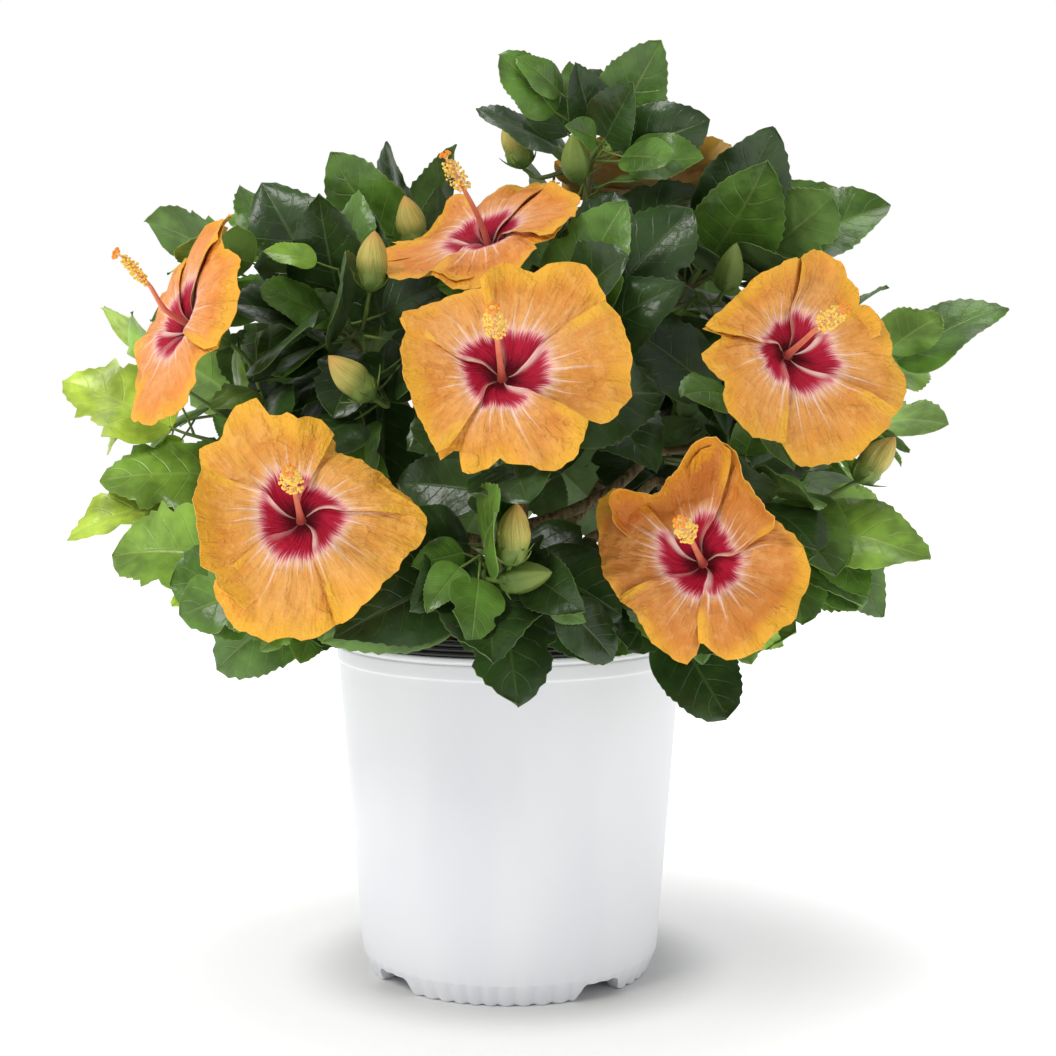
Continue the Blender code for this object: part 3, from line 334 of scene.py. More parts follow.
# For a bloom: which way its petals overlap (1 anticlockwise), the angle of each petal's front edge
# at the rim, how far each rim rolls forward, and the rim itself as angle:share of the radius.
PETAL_PLANS = {
    "front": dict(
        hand=-1, edges=(36, 104, 157, 243, 325), rolls=(0.0, 0.2, -0.3, 0.5, -0.1),
        rim="16:1.08 26:1.08 33:1.07 36:1.05 49:1.15 56:1.17 64:1.07 74:.90 79:.92 86:.93 92:.91 "
            "99:.83 104:.77 119:.82 134:.94 145:.99 151:.99 156:.86 162:.84 182:.79 199:.77 "
            "215:.78 231:.85 241:.95 245:.76 249:.84 254:.97 259:.95 265:.90 272:.81 279:.88 "
            "285:.93 291:1.00 298:1.04 308:1.04 313:.97 323:.92 326:.88 329:.97 334:1.02 342:1.05 "
            "350:1.07 358:1.06"),
    "front_left": dict(
        hand=1, edges=(0, 69, 154, 220, 289), rolls=(-0.5, 0.1, 0.8, 0.0, 0.1),
        rim="10:.92 17:.86 25:.80 37:.72 50:.69 61:.65 65:.63 69:.76 77:.83 85:.83 92:.80 98:.87 "
            "107:.86 110:1.09 120:1.10 129:1.02 137:.95 142:1.00 147:1.02 157:.89 163:.87 180:.85 "
            "197:.84 209:.91 214:.93 220:.88 227:.97 236:1.03 244:1.08 258:1.09 264:1.05 272:1.05 "
            "283:1.04 289:.98 297:1.00 304:.98 314:.97 333:.96 347:1.04 355:1.07 360:1.04"),
    "right_front": dict(
        hand=-1, edges=(31, 81, 169, 252, 327), rolls=(-0.2, 0.4, 0.3, 0.2, 0.0),
        rim="4:.91 12:.93 17:.93 28:.82 31:.73 37:.80 47:.86 56:.92 63:.96 73:.95 79:.85 81:.81 "
            "90:.77 100:.72 115:.71 137:.69 154:.76 163:.84 168:.88 170:.70 173:.72 179:.83 "
            "182:.92 193:.88 200:.83 202:.79 207:.85 216:.95 225:1.02 233:1.03 241:.97 249:.92 "
            "252:.89 254:.95 261:1.01 272:1.04 284:1.02 295:1.07 304:1.04 319:1.06 325:1.05 "
            "327:1.08 335:1.13 344:1.16 351:1.09 356:.98"),
    "front_right": dict(
        hand=1, edges=(19, 73, 137, 209, 273), rolls=(1.2, 1.9, 0.0, -0.2, -0.1),
        rim="0:.90 8:.87 14:.81 16:.80 19:.74 23:.76 30:.73 41:.73 57:.76 66:.86 73:.98 81:1.04 "
            "90:1.02 95:.94 100:.82 109:.76 120:.73 131:.73 138:.86 143:.99 152:1.04 161:.95 "
            "169:.88 179:.84 192:.80 204:.76 217:.72 227:.69 238:.76 249:.82 258:.85 266:.87 "
            "271:.80 274:.67 279:.75 286:.86 291:.91 302:.93 314:.91 322:.92 331:.95 338:.91 "
            "353:.91"),
    "left": dict(
        hand=1, edges=(54, 126, 198, 270, 342), rolls=(-0.3, -0.2, -0.3, -0.2, -0.3), head=0.62,
        face=(-0.815, -0.450, 0.375),
        rim="54:.90 62:1.03 74:1.08 87:1.04 100:1.07 112:1.03 122:.94 126:.80 134:.90 146:.94 "
            "159:.90 172:.92 184:.90 194:.82 198:.89 206:1.00 218:1.04 231:.99 244:1.03 256:1.00 "
            "266:.91 270:.88 278:1.00 290:1.08 303:1.10 316:1.03 328:.98 338:.86 342:.84 350:.95 "
            "2:1.01 15:.97 28:.99 40:.97 50:.88"),
}
PLAIN_RIM = (
    (0, 0.84), (8, 0.95), (20, 0.99), (33, 0.93), (46, 0.97), (58, 0.95), (68, 0.86), (72, 0.78))
UNRIPE = (("front", 1), ("top", 1), ("top_right", 0))   # the buds that are still all calyx


# ================================================================ small helpers
def polar(radius, angle, height):
    return Vector((radius * math.cos(angle), radius * math.sin(angle), height))


def curve_points(a, b, c, steps):
    """Points along a quadratic curve that leaves a towards b and ends at c."""
    found = []
    for i in range(steps + 1):
        t = i / steps
        found.append((1 - t) ** 2 * a + 2 * t * (1 - t) * b + t * t * c)
    return found


def across(direction, near):
    """The unit vector nearest to `near` at right angles to `direction`."""
    flat = near - direction * near.dot(direction)
    if flat.length < 1e-6:
        flat = direction.orthogonal()
    return flat.normalized()


def spoke(angle, side, up):
    """The direction at an angle in the plane of side and up."""
    return math.cos(angle) * side + math.sin(angle) * up


def tube(points, radii, sides):
    """A closed tube through the points, with a radius at each."""
    vertices = []
    heading = (points[1] - points[0]).normalized()
    side = across(heading, ASKEW)
    for i, point in enumerate(points):
        before = points[max(i - 1, 0)]
        after = points[min(i + 1, len(points) - 1)]
        heading = (after - before).normalized()
        side = across(heading, side)
        up = heading.cross(side)
        vertices += [point + radii[i] * spoke(math.tau * k / sides, side, up) for k in range(sides)]
    faces = [tuple(reversed(range(sides)))]
    for low in range(0, (len(points) - 1) * sides, sides):
        for k in range(sides):
            after = (k + 1) % sides
            faces.append((low + k, low + after, low + sides + after, low + sides + k))
    last = (len(points) - 1) * sides
    faces.append(tuple(last + k for k in range(sides)))
    return vertices, faces


def tapering(first, last, count):
    """Radii that change evenly from the first to the last."""
    return [first + (last - first) * i / (count - 1) for i in range(count)]


def on_path(path, share):
    """The point a share of the way along a path, and the direction there."""
    place = share * (len(path) - 1)
    i = min(int(place), len(path) - 2)
    return path[i].lerp(path[i + 1], place - i), (path[i + 1] - path[i]).normalized()


def path_length(path):
    return sum((b - a).length for a, b in zip(path, path[1:]))


# ================================================================ the growth rule
class Leaf:
    """One leaf: its petiole's root and end, the blade's heading and its upper side."""

    def __init__(self, root, base, heading, normal, length):
        self.root = root
        self.base = base
        self.heading = heading
        self.normal = across(heading, normal)
        self.side = heading.cross(self.normal)
        self.length = length
        self.young = 0.0

    def spine(self, t):
        """A point on the midrib, 0 at the blade's base and 1 at its tip."""
        drop = LEAF_DROOP * t * t * self.length
        return self.base + self.heading * (t * self.length) - self.normal * drop

    def section(self, t, half_width, thick):
        """The four corners across the blade: right edge, top, left edge, underside."""
        middle = self.spine(t)
        out = self.side * half_width
        lift = self.normal * (LEAF_FOLD * half_width)
        rise = self.normal * (thick / 2)
        return [middle + out + lift, middle + rise, middle - out + lift, middle - rise]

    def mesh(self):
        """The leaf's plain shape, fattened by the clearance for the test against its neighbours."""
        wide = LEAF_HALF_WIDTH * self.length
        thick = LEAF_THICKNESS + 2 * CLEARANCE
        stalk = PETIOLE_RADIUS + CLEARANCE
        start = self.root.lerp(self.base, 0.45)
        along = (self.base - self.root).normalized()
        side = across(along, self.side)
        over = along.cross(side) * -1
        rings = []
        for point in (start, self.base - along * 0.002):
            rings.append([point + side * stalk, point - side * stalk, point - over * stalk])
        for t, share in SMALL_BLADE if self.length < SMALL_LEAF else BLADE:
            rings.append(self.section(t, wide * share + CLEARANCE, thick))
        vertices = [corner for ring in rings for corner in ring]
        vertices.append(self.spine(1.0) + self.heading * CLEARANCE)
        faces = list(PETIOLE_FACES)
        for low in range(6, len(vertices) - 5, 4):
            for k in range(4):
                after = (k + 1) % 4
                faces.append((low + k, low + after, low + 4 + after, low + 4 + k))
        last = len(vertices) - 5
        for k in range(4):
            faces.append((last + k, last + (k + 1) % 4, last + 4))
        return vertices, faces


PETIOLE_FACES = (
    (2, 1, 0), (0, 1, 4, 3), (1, 2, 5, 4), (2, 0, 3, 5),
    (3, 4, 7), (3, 7, 6), (4, 8, 7), (4, 5, 9, 8), (5, 3, 6, 9))


class Space:
    """What is already grown, so that nothing new touches it."""

    def __init__(self):
        self.taken = []

    def add(self, vertices, faces, owner):
        low = Vector([min(v[i] for v in vertices) for i in range(3)])
        high = Vector([max(v[i] for v in vertices) for i in range(3)])
        tree = BVHTree.FromPolygons([tuple(v) for v in vertices], faces)
        self.taken.append((tree, low, high, owner))

    def free(self, vertices, faces, but=()):
        """Whether the shape touches nothing, leaving out what the owners in `but` have."""
        low = [min(v[i] for v in vertices) for i in range(3)]
        high = [max(v[i] for v in vertices) for i in range(3)]
        tree = None
        for other, other_low, other_high, owner in self.taken:
            if owner in but:
                continue
            if any(low[i] > other_high[i] or high[i] < other_low[i] for i in range(3)):
                continue
            tree = tree or BVHTree.FromPolygons([tuple(v) for v in vertices], faces)
            if tree.overlap(other):
                return False
        return True


def fat_tube(points, radii):
    """A tube with the clearance round it, to test for room."""
    return tube(points, [radius + CLEARANCE for radius in radii], 5)


def bloom_frame(face):
    """The facing axis of a bloom, with the right and up directions of its disc."""
    axis = Vector(face).normalized()
    up = across(axis, UP)
    return axis, axis.cross(up) * -1, up


def stalk_of_bloom(start, bloom):
    """The path of a bloom's stalk, from the stem to the underside of its throat."""
    throat = Vector(bloom[0])
    axis = Vector(bloom[1]).normalized()
    end = throat - axis * (THROAT_DEPTH + THROAT_FLOOR)
    calyx = end - axis * CALYX_BELOW
    middle = calyx - axis * max(0.25 * (calyx - start).length, 0.01)
    path = curve_points(start, middle, calyx, 3)
    path.append(end)
    return path


def stalk_of_bud(start, bud):
    """The path of a bud's stalk and of the bud itself, to its point."""
    point = Vector(bud[0])
    axis = Vector(bud[1]).normalized()
    foot = point - axis * BUD_LENGTH
    path = curve_points(start, foot - axis * 0.3 * (foot - start).length, foot, 2)
    for share in BUD_SHARES:
        path.append(foot + axis * BUD_LENGTH * share)
    return path


def shoot_path(start, tip, leaf, bow):
    """A shoot's curve from the stem to where its end leaf begins, arching by `bow`."""
    whole = tip - start
    reach = max(whole.length - leaf, SHOOT_LEAST * whole.length)
    end = start + whole.normalized() * reach
    middle = start.lerp(end, 0.5) + bow * reach
    return curve_points(start, middle, end, SHOOT_STEPS)


def upper_side(point):
    """The way a leaf's upper side turns: up, outwards, and to the front or the back."""
    outward = (point - CROWN_CENTRE).normalized()
    front = math.tanh((point.y - 0.03) / 0.06)
    high = min(max((point.z - HIGH_LEAVES[0]) / (HIGH_LEAVES[1] - HIGH_LEAVES[0]), 0.0), 1.0)
    outward.z *= 1 - 0.6 * high
    return 0.5 * outward + Vector((0, 0.8 * front, 0.6 - 0.4 * high))


def shaken(chance, x, y, z):
    """A small random vector."""
    return Vector((chance.uniform(-x, x), chance.uniform(-y, y), chance.uniform(-z, z)))


def leaf_on(point, axis, out, length, petiole, chance):
    """A leaf from a point of a shoot: out from the shoot, out of the crown, and hanging a little."""
    from_centre = (point - CROWN_CENTRE).normalized()
    off_shoot, on_shoot, off_crown, rise = LEAF_PULLS
    heading = off_shoot * out + on_shoot * axis + off_crown * from_centre + Vector((0, 0, rise))
    heading += shaken(chance, 0.2, 0.2, 0.2)
    heading.normalize()
    normal = upper_side(point)
    normal += shaken(chance, 0.4, 0.4, 0.3)
    off_shoot, on_shoot, on_leaf = STALK_PULLS
    stalk = (off_shoot * out + on_shoot * axis + on_leaf * heading).normalized()
    return Leaf(point, point + stalk * petiole, heading, normal, length)


def crown_share(point):
    """How far out a point is, squared: 1 on the crown's outline."""
    offset = point - CROWN_CENTRE
    return sum((offset[i] / CROWN_RADII[i]) ** 2 for i in range(3))


def in_crown(leaf):
    """Whether a leaf stays inside the crown's outline, above its skirt and off the pot."""
    over_rim, past_rim = POT_CLEAR
    for t in (0.5, 1.0):
        point = leaf.spine(t)
        if crown_share(point) > 1.0 or point.z < CROWN_SKIRT:
            return False
        over_pot = math.hypot(point.x, point.y) < POT_RIM_RADIUS + past_rim
        if over_pot and point.z < LINER_HEIGHT + over_rim:
            return False
    return True


def petal_rim(angle):
    """The rim's share of the bloom's radius at an angle, and its rise: five broad wavy petals."""
    lobe = abs(math.sin(PETALS * angle / 2))
    return 0.80 + 0.20 * lobe ** 0.6, 0.06 * math.sin(2 * PETALS * angle)


def bloom_disc(bloom):
    """The plain disc of a bloom, which keeps the leaves off its petals."""
    throat = Vector(bloom[0])
    axis, right, up = bloom_frame(bloom[1])
    count = PETALS * PETAL_STEPS
    turns = [math.tau * k / count for k in range(count)]
    outs = [spoke(angle, right, up) for angle in turns]
    rings = ((THROAT_RADIUS, -THROAT_DEPTH), (0.42 * BLOOM_RADIUS, -0.001))
    vertices = [throat - axis * (THROAT_DEPTH + 0.001)]
    for radius, depth in rings:
        vertices += [throat + out * radius + axis * depth for out in outs]
    for angle, out in zip(turns, outs):
        share, rise = petal_rim(angle)
        vertices.append(throat + (out * share + axis * (rise - 0.03)) * BLOOM_RADIUS)
    for radius, depth in reversed(rings):
        vertices += [throat + out * radius + axis * (depth - PETAL_THICKNESS) for out in outs]
    vertices.append(throat - axis * (THROAT_DEPTH + PETAL_THICKNESS + 0.001))
    faces = []
    for k in range(count):                       # the top and the underside are split the same way
        after = (k + 1) % count
        faces.append((0, 1 + after, 1 + k))
        for ring in range(4):
            near, near_after = 1 + ring * count + k, 1 + ring * count + after
            far, far_after = near + count, near_after + count
            if ring < 2:
                faces += [(near, near_after, far_after), (near, far_after, far)]
            else:
                faces += [(near, near_after, far), (near_after, far_after, far)]
        low = 1 + 4 * count
        faces.append((low + k, low + after, len(vertices) - 1))
    return vertices, faces


def column_way(bloom):
    """The way a bloom's column leans: its own, or along the bloom's axis and a little up."""
    axis, _, up = bloom_frame(bloom[1])
    return Vector(bloom[2]).normalized() if len(bloom) > 2 else axis + 0.06 * up


def bloom_column(bloom):
    """The plain shape of the column from the throat, with its head."""
    throat = Vector(bloom[0])
    axis = bloom_frame(bloom[1])[0]
    foot = -(THROAT_DEPTH + 0.0018) / COLUMN
    shape = ((foot, 0.0020), *COLUMN_SHAPE)
    ways = [axis if share < 0 else column_way(bloom) for share, _ in shape]
    points = [throat + way * (share * COLUMN) for way, (share, _) in zip(ways, shape)]
    return tube(points, [radius for _, radius in shape], 4)


class Mass:
    """One mass of foliage: its stem, its shoots, and what finds room on them."""

    def __init__(self, name, plan):
        self.name = name
        self.plan = plan
        self.tips = [Vector(tip) for tip in plan["tips"]]
        bough_end = Vector(plan["bough"])
        middle = sum(self.tips, Vector()) / len(self.tips)
        stem_end = bough_end.lerp(middle, plan.get("stem", STEM_SHARE))
        self.heading = (stem_end - bough_end).normalized()
        start = bough_end + self.heading * GAP
        self.stem = [start, start.lerp(stem_end, 0.5), stem_end]
        self.shoots = []
        self.side_shoots = []
        self.leafy = [(STEM_LEAVES, self.stem)]
        self.leaves = []
        self.stalks = []

    def grow_bloom(self, space):
        """The stem, then the bloom and its stalk."""
        radii = [STEM_RADIUS, 0.5 * (STEM_RADIUS + SHOOT_RADIUS), SHOOT_RADIUS]
        space.add(*tube(self.stem, radii, TWIG_SIDES + 1), self.name)
        bloom = self.plan["bloom"]
        if bloom:
            stalk = stalk_of_bloom(self.stem[2], bloom)
            for shape in (tube(stalk, BLOOM_STALK_RADII, 4), bloom_disc(bloom), bloom_column(bloom)):
                space.add(*shape, self.name)
            self.leafy.append((BLOOM_LEAVES, stalk[:3]))
            self.stalks.append(stalk[:4])
        for number, bud in enumerate(self.plan["buds"]):
            stalk = stalk_of_bud(self.stem[2], bud)
            space.add(*tube(stalk, BUD_RADII, 4), self.name)
            self.leafy.append((BUD_LEAVES + number, stalk[:2]))
            self.stalks.append(stalk[:3])

    def grow_shoots(self, space):
        """One shoot towards each tip, arched the first way that touches nothing."""
        for number, tip in enumerate(self.tips):
            chord = (tip - self.stem[2]).normalized()
            bow = across(chord, UP) * SHOOT_BOW
            for turn in TURNS:
                turned_bow = Matrix.Rotation(turn, 3, chord) @ bow
                trial = shoot_path(self.stem[2], tip, LEAF_LENGTH + END_PETIOLE * PETIOLE, turned_bow)
                radii = tapering(SHOOT_RADIUS, SHOOT_TIP_RADIUS, len(trial))
                if space.free(*fat_tube(trial, radii), but=(self.name,)):
                    space.add(*tube(trial, radii, TWIG_SIDES), self.name)
                    self.shoots.append((trial, tip))
                    self.leafy.append((number, trial))
                    break

    def grow_end_leaves(self, space):
        """The leaf at the end of each shoot, whose tip is the tip that the shoot reaches."""
        for path, tip in self.shoots:
            end = path[-1]
            along = (path[-1] - path[-2]).normalized()
            out = (tip - end).normalized()
            base = end + (0.6 * out + 0.4 * along).normalized() * END_PETIOLE * PETIOLE
            reach = (tip - base).length
            length = reach / math.hypot(1.0, LEAF_DROOP)
            flat = (tip - base).normalized()
            normal = across(flat, upper_side(tip))
            for roll in TURNS:
                rolled = Matrix.Rotation(roll, 3, flat) @ normal
                heading = (flat + rolled * LEAF_DROOP).normalized()
                if self.try_leaf(Leaf(end - along * 0.001, base, heading, rolled, length), space):
                    break

    def leaf_places(self, seed, spacing, first):
        """The leaves' places up each path: its number, the leaf's, the share, and its own chance."""
        for number, path in self.leafy:
            count = round(path_length(path) / spacing(number))
            for k in range(count):
                chance = random.Random(f"{seed}{self.plan['seed']}-{number}-{k}")
                yield number, path, k, (k + first) / count, chance

    def grow_leaves(self, space):
        """Leaves up each shoot, a golden turn apart, each turned until it finds room."""
        for number, path, k, share, chance in self.leaf_places("", lambda _: NODE_SPACING, 0.75):
            point, along = on_path(path, share)
            length = LEAF_LENGTH * (1 + LEAF_SPREAD * chance.uniform(-1, 1))
            if share > 0.8:
                length *= 1 - UPPER_SHARE
            roll = GOLDEN_TURN * k + 1.3 * number + chance.uniform(-0.3, 0.3)
            self.try_turns(point, along, roll, length, space)

    def try_turns(self, point, along, roll, length, space, young=0.0):
        """One leaf from a point, turned round the shoot and then made smaller until it finds room."""
        start = across(along, LEAF_START)
        for size in SIZES:
            for turn in TURNS:
                out = Matrix.Rotation(roll + turn, 3, along) @ start
                chance = random.Random(f"{roll + turn:.3f}")
                petiole = PETIOLE * size * (1 - 0.6 * young)
                leaf = leaf_on(point, along, out, size * length, petiole, chance)
                if in_crown(leaf) and self.try_leaf(leaf, space):
                    leaf.young = young
                    return

    def try_leaf(self, leaf, space):
        """Takes the leaf if it touches nothing; petioles may cross their own mass's petioles."""
        test = leaf.mesh()
        stalk = fat_tube((leaf.root, leaf.base), (PETIOLE_RADIUS, PETIOLE_RADIUS))
        own_stalks = self.name + " stalks"
        if not space.free(*test, but=(own_stalks,)):
            return False
        if not space.free(*stalk, but=(own_stalks, self.name)):
            return False
        space.add(*stalk, own_stalks)
        space.add(*test, self.name)
        self.leaves.append(leaf)
        return True

    def grow_side_shoot(self, number, path, space):
        """A side shoot with up to three leaves, where there is room for it."""
        chance = random.Random(f"side-{self.plan['seed']}-{number}-0")
        point, along = on_path(path, SIDE_SHOOT_AT)
        out = Matrix.Rotation(chance.uniform(0, math.tau), 3, along) @ across(along, LEAF_START)
        from_centre = (point - CROWN_CENTRE).normalized()
        way = (out + 0.6 * along + 0.8 * from_centre).normalized()
        end = point + way * SIDE_SHOOT * chance.uniform(0.7, 1.2)
        twig = curve_points(point + way * 0.002, point.lerp(end, 0.5) + along * 0.003, end, 2)
        if not space.free(*fat_tube(twig, SIDE_SHOOT_RADII), but=(self.name,)):
            return
        before = len(self.leaves)
        for j, (share, length, young) in enumerate(SIDE_LEAVES):
            place, heading = on_path(twig, share)
            length *= chance.uniform(0.85, 1.15)
            self.try_turns(place, heading, GOLDEN_TURN * j + chance.uniform(0, 6), length, space, young)
        if len(self.leaves) > before:
            self.side_shoots.append(twig)
            space.add(*tube(twig, SIDE_SHOOT_RADII, 3), self.name)

    def grow_finer(self, space):
        """Side shoots and smaller leaves between the others, in the room that is left."""
        for number, path in self.leafy:
            self.grow_side_shoot(number, path, space)

        def spacing(number):
            return INNER_SPACING if number == BOUGH_LEAVES else FINE_SPACING

        for number, path, k, share, chance in self.leaf_places("fine-", spacing, 0.4):
            point, along = on_path(path, share)
            length = chance.uniform(*(INNER_LENGTHS if number == BOUGH_LEAVES else FINE_LENGTHS))
            roll = GOLDEN_TURN * k + 0.7 * number + chance.uniform(-0.3, 0.3)
            self.try_turns(point, along, roll, length, space, FINE_YOUNG)


def fill_sight(sight, masses, space):
    """One more leaf, from the nearest shoot or bough, whose blade hangs across a line of sight."""
    way = (Vector((sight[0], 0, sight[1])) - VIEWPOINT).normalized()
    places = []
    for mass in masses:
        for _, path in mass.leafy:
            for share in (0.1, 0.3, 0.5, 0.7, 0.9):
                point = on_path(path, share)[0]
                foot = VIEWPOINT + way * (point - VIEWPOINT).dot(way)
                if (point - foot).length < SCREEN_REACH:
                    places.append(((point - foot).length, point, foot, mass))
    for _, point, foot, mass in sorted(places, key=lambda place: place[0]):
        for nearer, length, turn in product((0.0, 0.015, 0.03, -0.015, -0.03), SCREEN_LENGTHS, TURNS):
            middle = foot - way * nearer
            heading = Matrix.Rotation(turn, 3, way) @ (middle - point).normalized()
            base = middle - heading * 0.45 * length
            leaf = Leaf(point, base, heading, 0.5 * UP - way, length)
            if (base - point).length < SCREEN_PETIOLE and in_crown(leaf) and mass.try_leaf(leaf, space):
                return


def add_openings(space, masses):
    """What no leaf may cross: narrow cones through the crown, and the air before each bloom's face."""
    for x, z, radius in OPENINGS:
        sight = Vector((x, 0, z)) - VIEWPOINT
        near = 1 - OPENING_DEPTH
        far = 1 + OPENING_DEPTH
        for share in (1.0, 0.5):
            widths = (radius * near * share, radius * far * share)
            space.add(*tube((VIEWPOINT + sight * near, VIEWPOINT + sight * far), widths, 6), "openings")
    for mass in masses:
        if mass.plan["bloom"]:
            throat, face = (Vector(value) for value in mass.plan["bloom"][:2])
            path = [throat + face.normalized() * height for height, _ in BLOOM_AIR]
            space.add(*tube(path, [share * BLOOM_RADIUS for _, share in BLOOM_AIR], 12), "openings")


def trunk_centre(height):
    """The middle of the trunk, which stands upright at its foot and then leans."""
    foot = SOIL_HEIGHT + TRUNK_FOOT
    share = max(height - foot, 0) / (TRUNK_TOP - foot)
    return Vector((TRUNK_LEAN[0] * share, TRUNK_LEAN[1] * share, height))


def trunk_shape():
    """The plain shape of the trunk, from its flared foot to its top."""
    heights = (SOIL_HEIGHT + GAP, SOIL_HEIGHT + TRUNK_FOOT, SOIL_HEIGHT + 0.018,
               0.5 * (SOIL_HEIGHT + TRUNK_TOP), TRUNK_TOP)
    flares = (1.0, 0.45, 0.10, 0.0, -0.25)
    points = [trunk_centre(height) for height in heights]
    return tube(points, [TRUNK_RADIUS + TRUNK_FLARE * flare for flare in flares], 10)


def bough_path(number, count, tip, heading):
    """A bough's curve: out of the trunk towards its tip, rising, then straight into its mass."""
    height = FORK_LOW + (FORK_HIGH - FORK_LOW) * number / (count - 1)
    root = trunk_centre(height)
    out = Vector((tip.x - root.x, tip.y - root.y, 0))
    lift = max(tip.z - height, 0.0)
    middle = root + out * BOUGH_BEND[0] + Vector((0, 0, BOUGH_BEND[1] * lift))
    path = curve_points(root, middle, tip - heading * BOUGH_END, BOUGH_STEPS)
    path.append(tip)
    return path


def grow():
    """Every mass and every bough, grown in the source's order."""
    space = Space()
    space.add(*trunk_shape(), "limbs")
    masses = [Mass(name, plan) for name, plan in MASSES.items()]
    boughs = []
    for number, mass in enumerate(sorted(masses, key=lambda mass: mass.plan["bough"][2])):
        path = bough_path(number, len(masses), Vector(mass.plan["bough"]), mass.heading)
        space.add(*tube(path, tapering(BOUGH_RADIUS, BOUGH_TIP_RADIUS, len(path)), BOUGH_SIDES), "limbs")
        boughs.append((mass.name, path))
    for step in (Mass.grow_bloom, Mass.grow_shoots, Mass.grow_end_leaves):
        for mass in masses:
            step(mass, space)
    add_openings(space, masses)
    for mass in masses:
        mass.grow_leaves(space)
    for mass in masses:
        mass.leafy.append((BOUGH_LEAVES, dict(boughs)[mass.name][1:]))
        mass.grow_finer(space)
    for sight in SCREENED:
        fill_sight(sight, masses, space)
    return masses, boughs


# ================================================================ meshes from grids
# Charts in a block's cell of the bake map: the low corner and the size.
WHOLE = (0.02, 0.02, 0.96, 0.96)
TOP = (0.02, 0.02, 0.62, 0.96)
UNDER = (0.68, 0.32, 0.30, 0.66)
STALK = (0.68, 0.02, 0.30, 0.24)
QUARTERS = tuple((x, y, 0.46, 0.46) for y in (0.02, 0.52) for x in (0.02, 0.52))


class Pile:
    """Many grids of points gathered into one mesh, with UV maps and material slots.

    "Grain" runs over each grid from 0 to 1.  "OFBake" lays the grids side by side: each block, such as
    one leaf, has its own cell of the map, and the grids of a block have a chart each in that cell.
    """

    def __init__(self, name, looks):
        self.name = name
        self.looks = looks
        self.points = []
        self.quads = []
        self.maps = []
        self.charts = []
        self.slots = []
        self.count = 0
        self.blocks = 1

    def next_block(self):
        self.blocks += bool(self.count)

    def add_faces(self, quads, uv, slot, chart):
        """Quads into points that are already there, and a UV place for each of their corners."""
        self.quads.append(quads)
        self.maps.append(uv)
        self.slots.append(np.full(len(quads), slot, dtype=np.int32))
        low, size = np.array(chart[:2]), np.array(chart[2:])
        self.charts.append((self.blocks - 1, low + size * uv))

    def add(self, points, quads, uv, slot=0, chart=WHOLE):
        """Points (n, 3), quads (m, 4) into them, and a UV place for each of their corners."""
        self.points.append(points)
        self.add_faces(quads + self.count, uv, slot, chart)
        self.count += len(points)

    def add_round(self, grid, slot=0, chart=WHOLE, flipped=False):
        """A grid (rows, columns, 3) whose last column joins its first."""
        rows, columns = grid.shape[:2]
        turn = slice(None, None, -1 if flipped else 1)
        places = grid_places(rows, columns).reshape(-1, 4, 2)[:, turn].reshape(-1, 2)
        self.add(grid.reshape(-1, 3), grid_quads(rows, columns, wrap=True)[:, turn], places, slot, chart)

    def bake_places(self):
        across_map = math.ceil(math.sqrt(self.blocks))
        down_map = math.ceil(self.blocks / across_map)
        found = []
        for block, places in self.charts:
            corner = np.array((block % across_map, block // across_map))
            found.append((corner + places) / (across_map, down_map))
        return np.concatenate(found)

    def build(self, sharp=50):
        points = np.concatenate(self.points).astype(np.float32)
        quads = np.concatenate(self.quads).astype(np.int32)
        mesh = bpy.data.meshes.new(self.name)
        mesh.vertices.add(len(points))
        mesh.vertices.foreach_set("co", points.ravel())
        mesh.loops.add(quads.size)
        mesh.loops.foreach_set("vertex_index", quads.ravel())
        mesh.polygons.add(len(quads))
        mesh.polygons.foreach_set("loop_start", np.arange(0, quads.size, 4, dtype=np.int32))
        mesh.polygons.foreach_set("material_index", np.concatenate(self.slots))
        mesh.update(calc_edges=True)
        for name, places in (("Grain", np.concatenate(self.maps)), ("OFBake", self.bake_places())):
            layer = mesh.uv_layers.new(name=name)
            layer.data.foreach_set("uv", places.astype(np.float32).ravel())
        for look in self.looks:
            mesh.materials.append(look)
        mesh.shade_smooth()
        mesh.set_sharp_from_angle(angle=math.radians(sharp))
        made = bpy.data.objects.new(self.name, mesh)
        bpy.context.scene.collection.objects.link(made)
        return made


def grid_quads(rows, columns, wrap=False):
    """The quads of a grid of points that runs row by row; `wrap` joins its last column to its first."""
    row = np.arange(rows - 1)[:, None] * columns
    column = np.arange(columns if wrap else columns - 1)[None, :]
    after = (column + 1) % columns
    corners = (row + column, row + after, row + columns + after, row + columns + column)
    return np.stack(corners, axis=-1).reshape(-1, 4)


def grid_places(rows, columns):
    """The UV places of the corners of a joined grid's quads, in the order of grid_quads."""
    row = np.arange(rows - 1)[:, None]
    column = np.arange(columns)[None, :]
    corners = [np.stack(np.broadcast_arrays((column + over) / columns, (row + up) / (rows - 1)), axis=-1)
               for up, over in ((0, 0), (0, 1), (1, 1), (1, 0))]
    return np.stack(corners, axis=2).reshape(-1, 2)


def unit(vectors):
    return vectors / np.maximum(np.linalg.norm(vectors, axis=-1, keepdims=True), 1e-9)


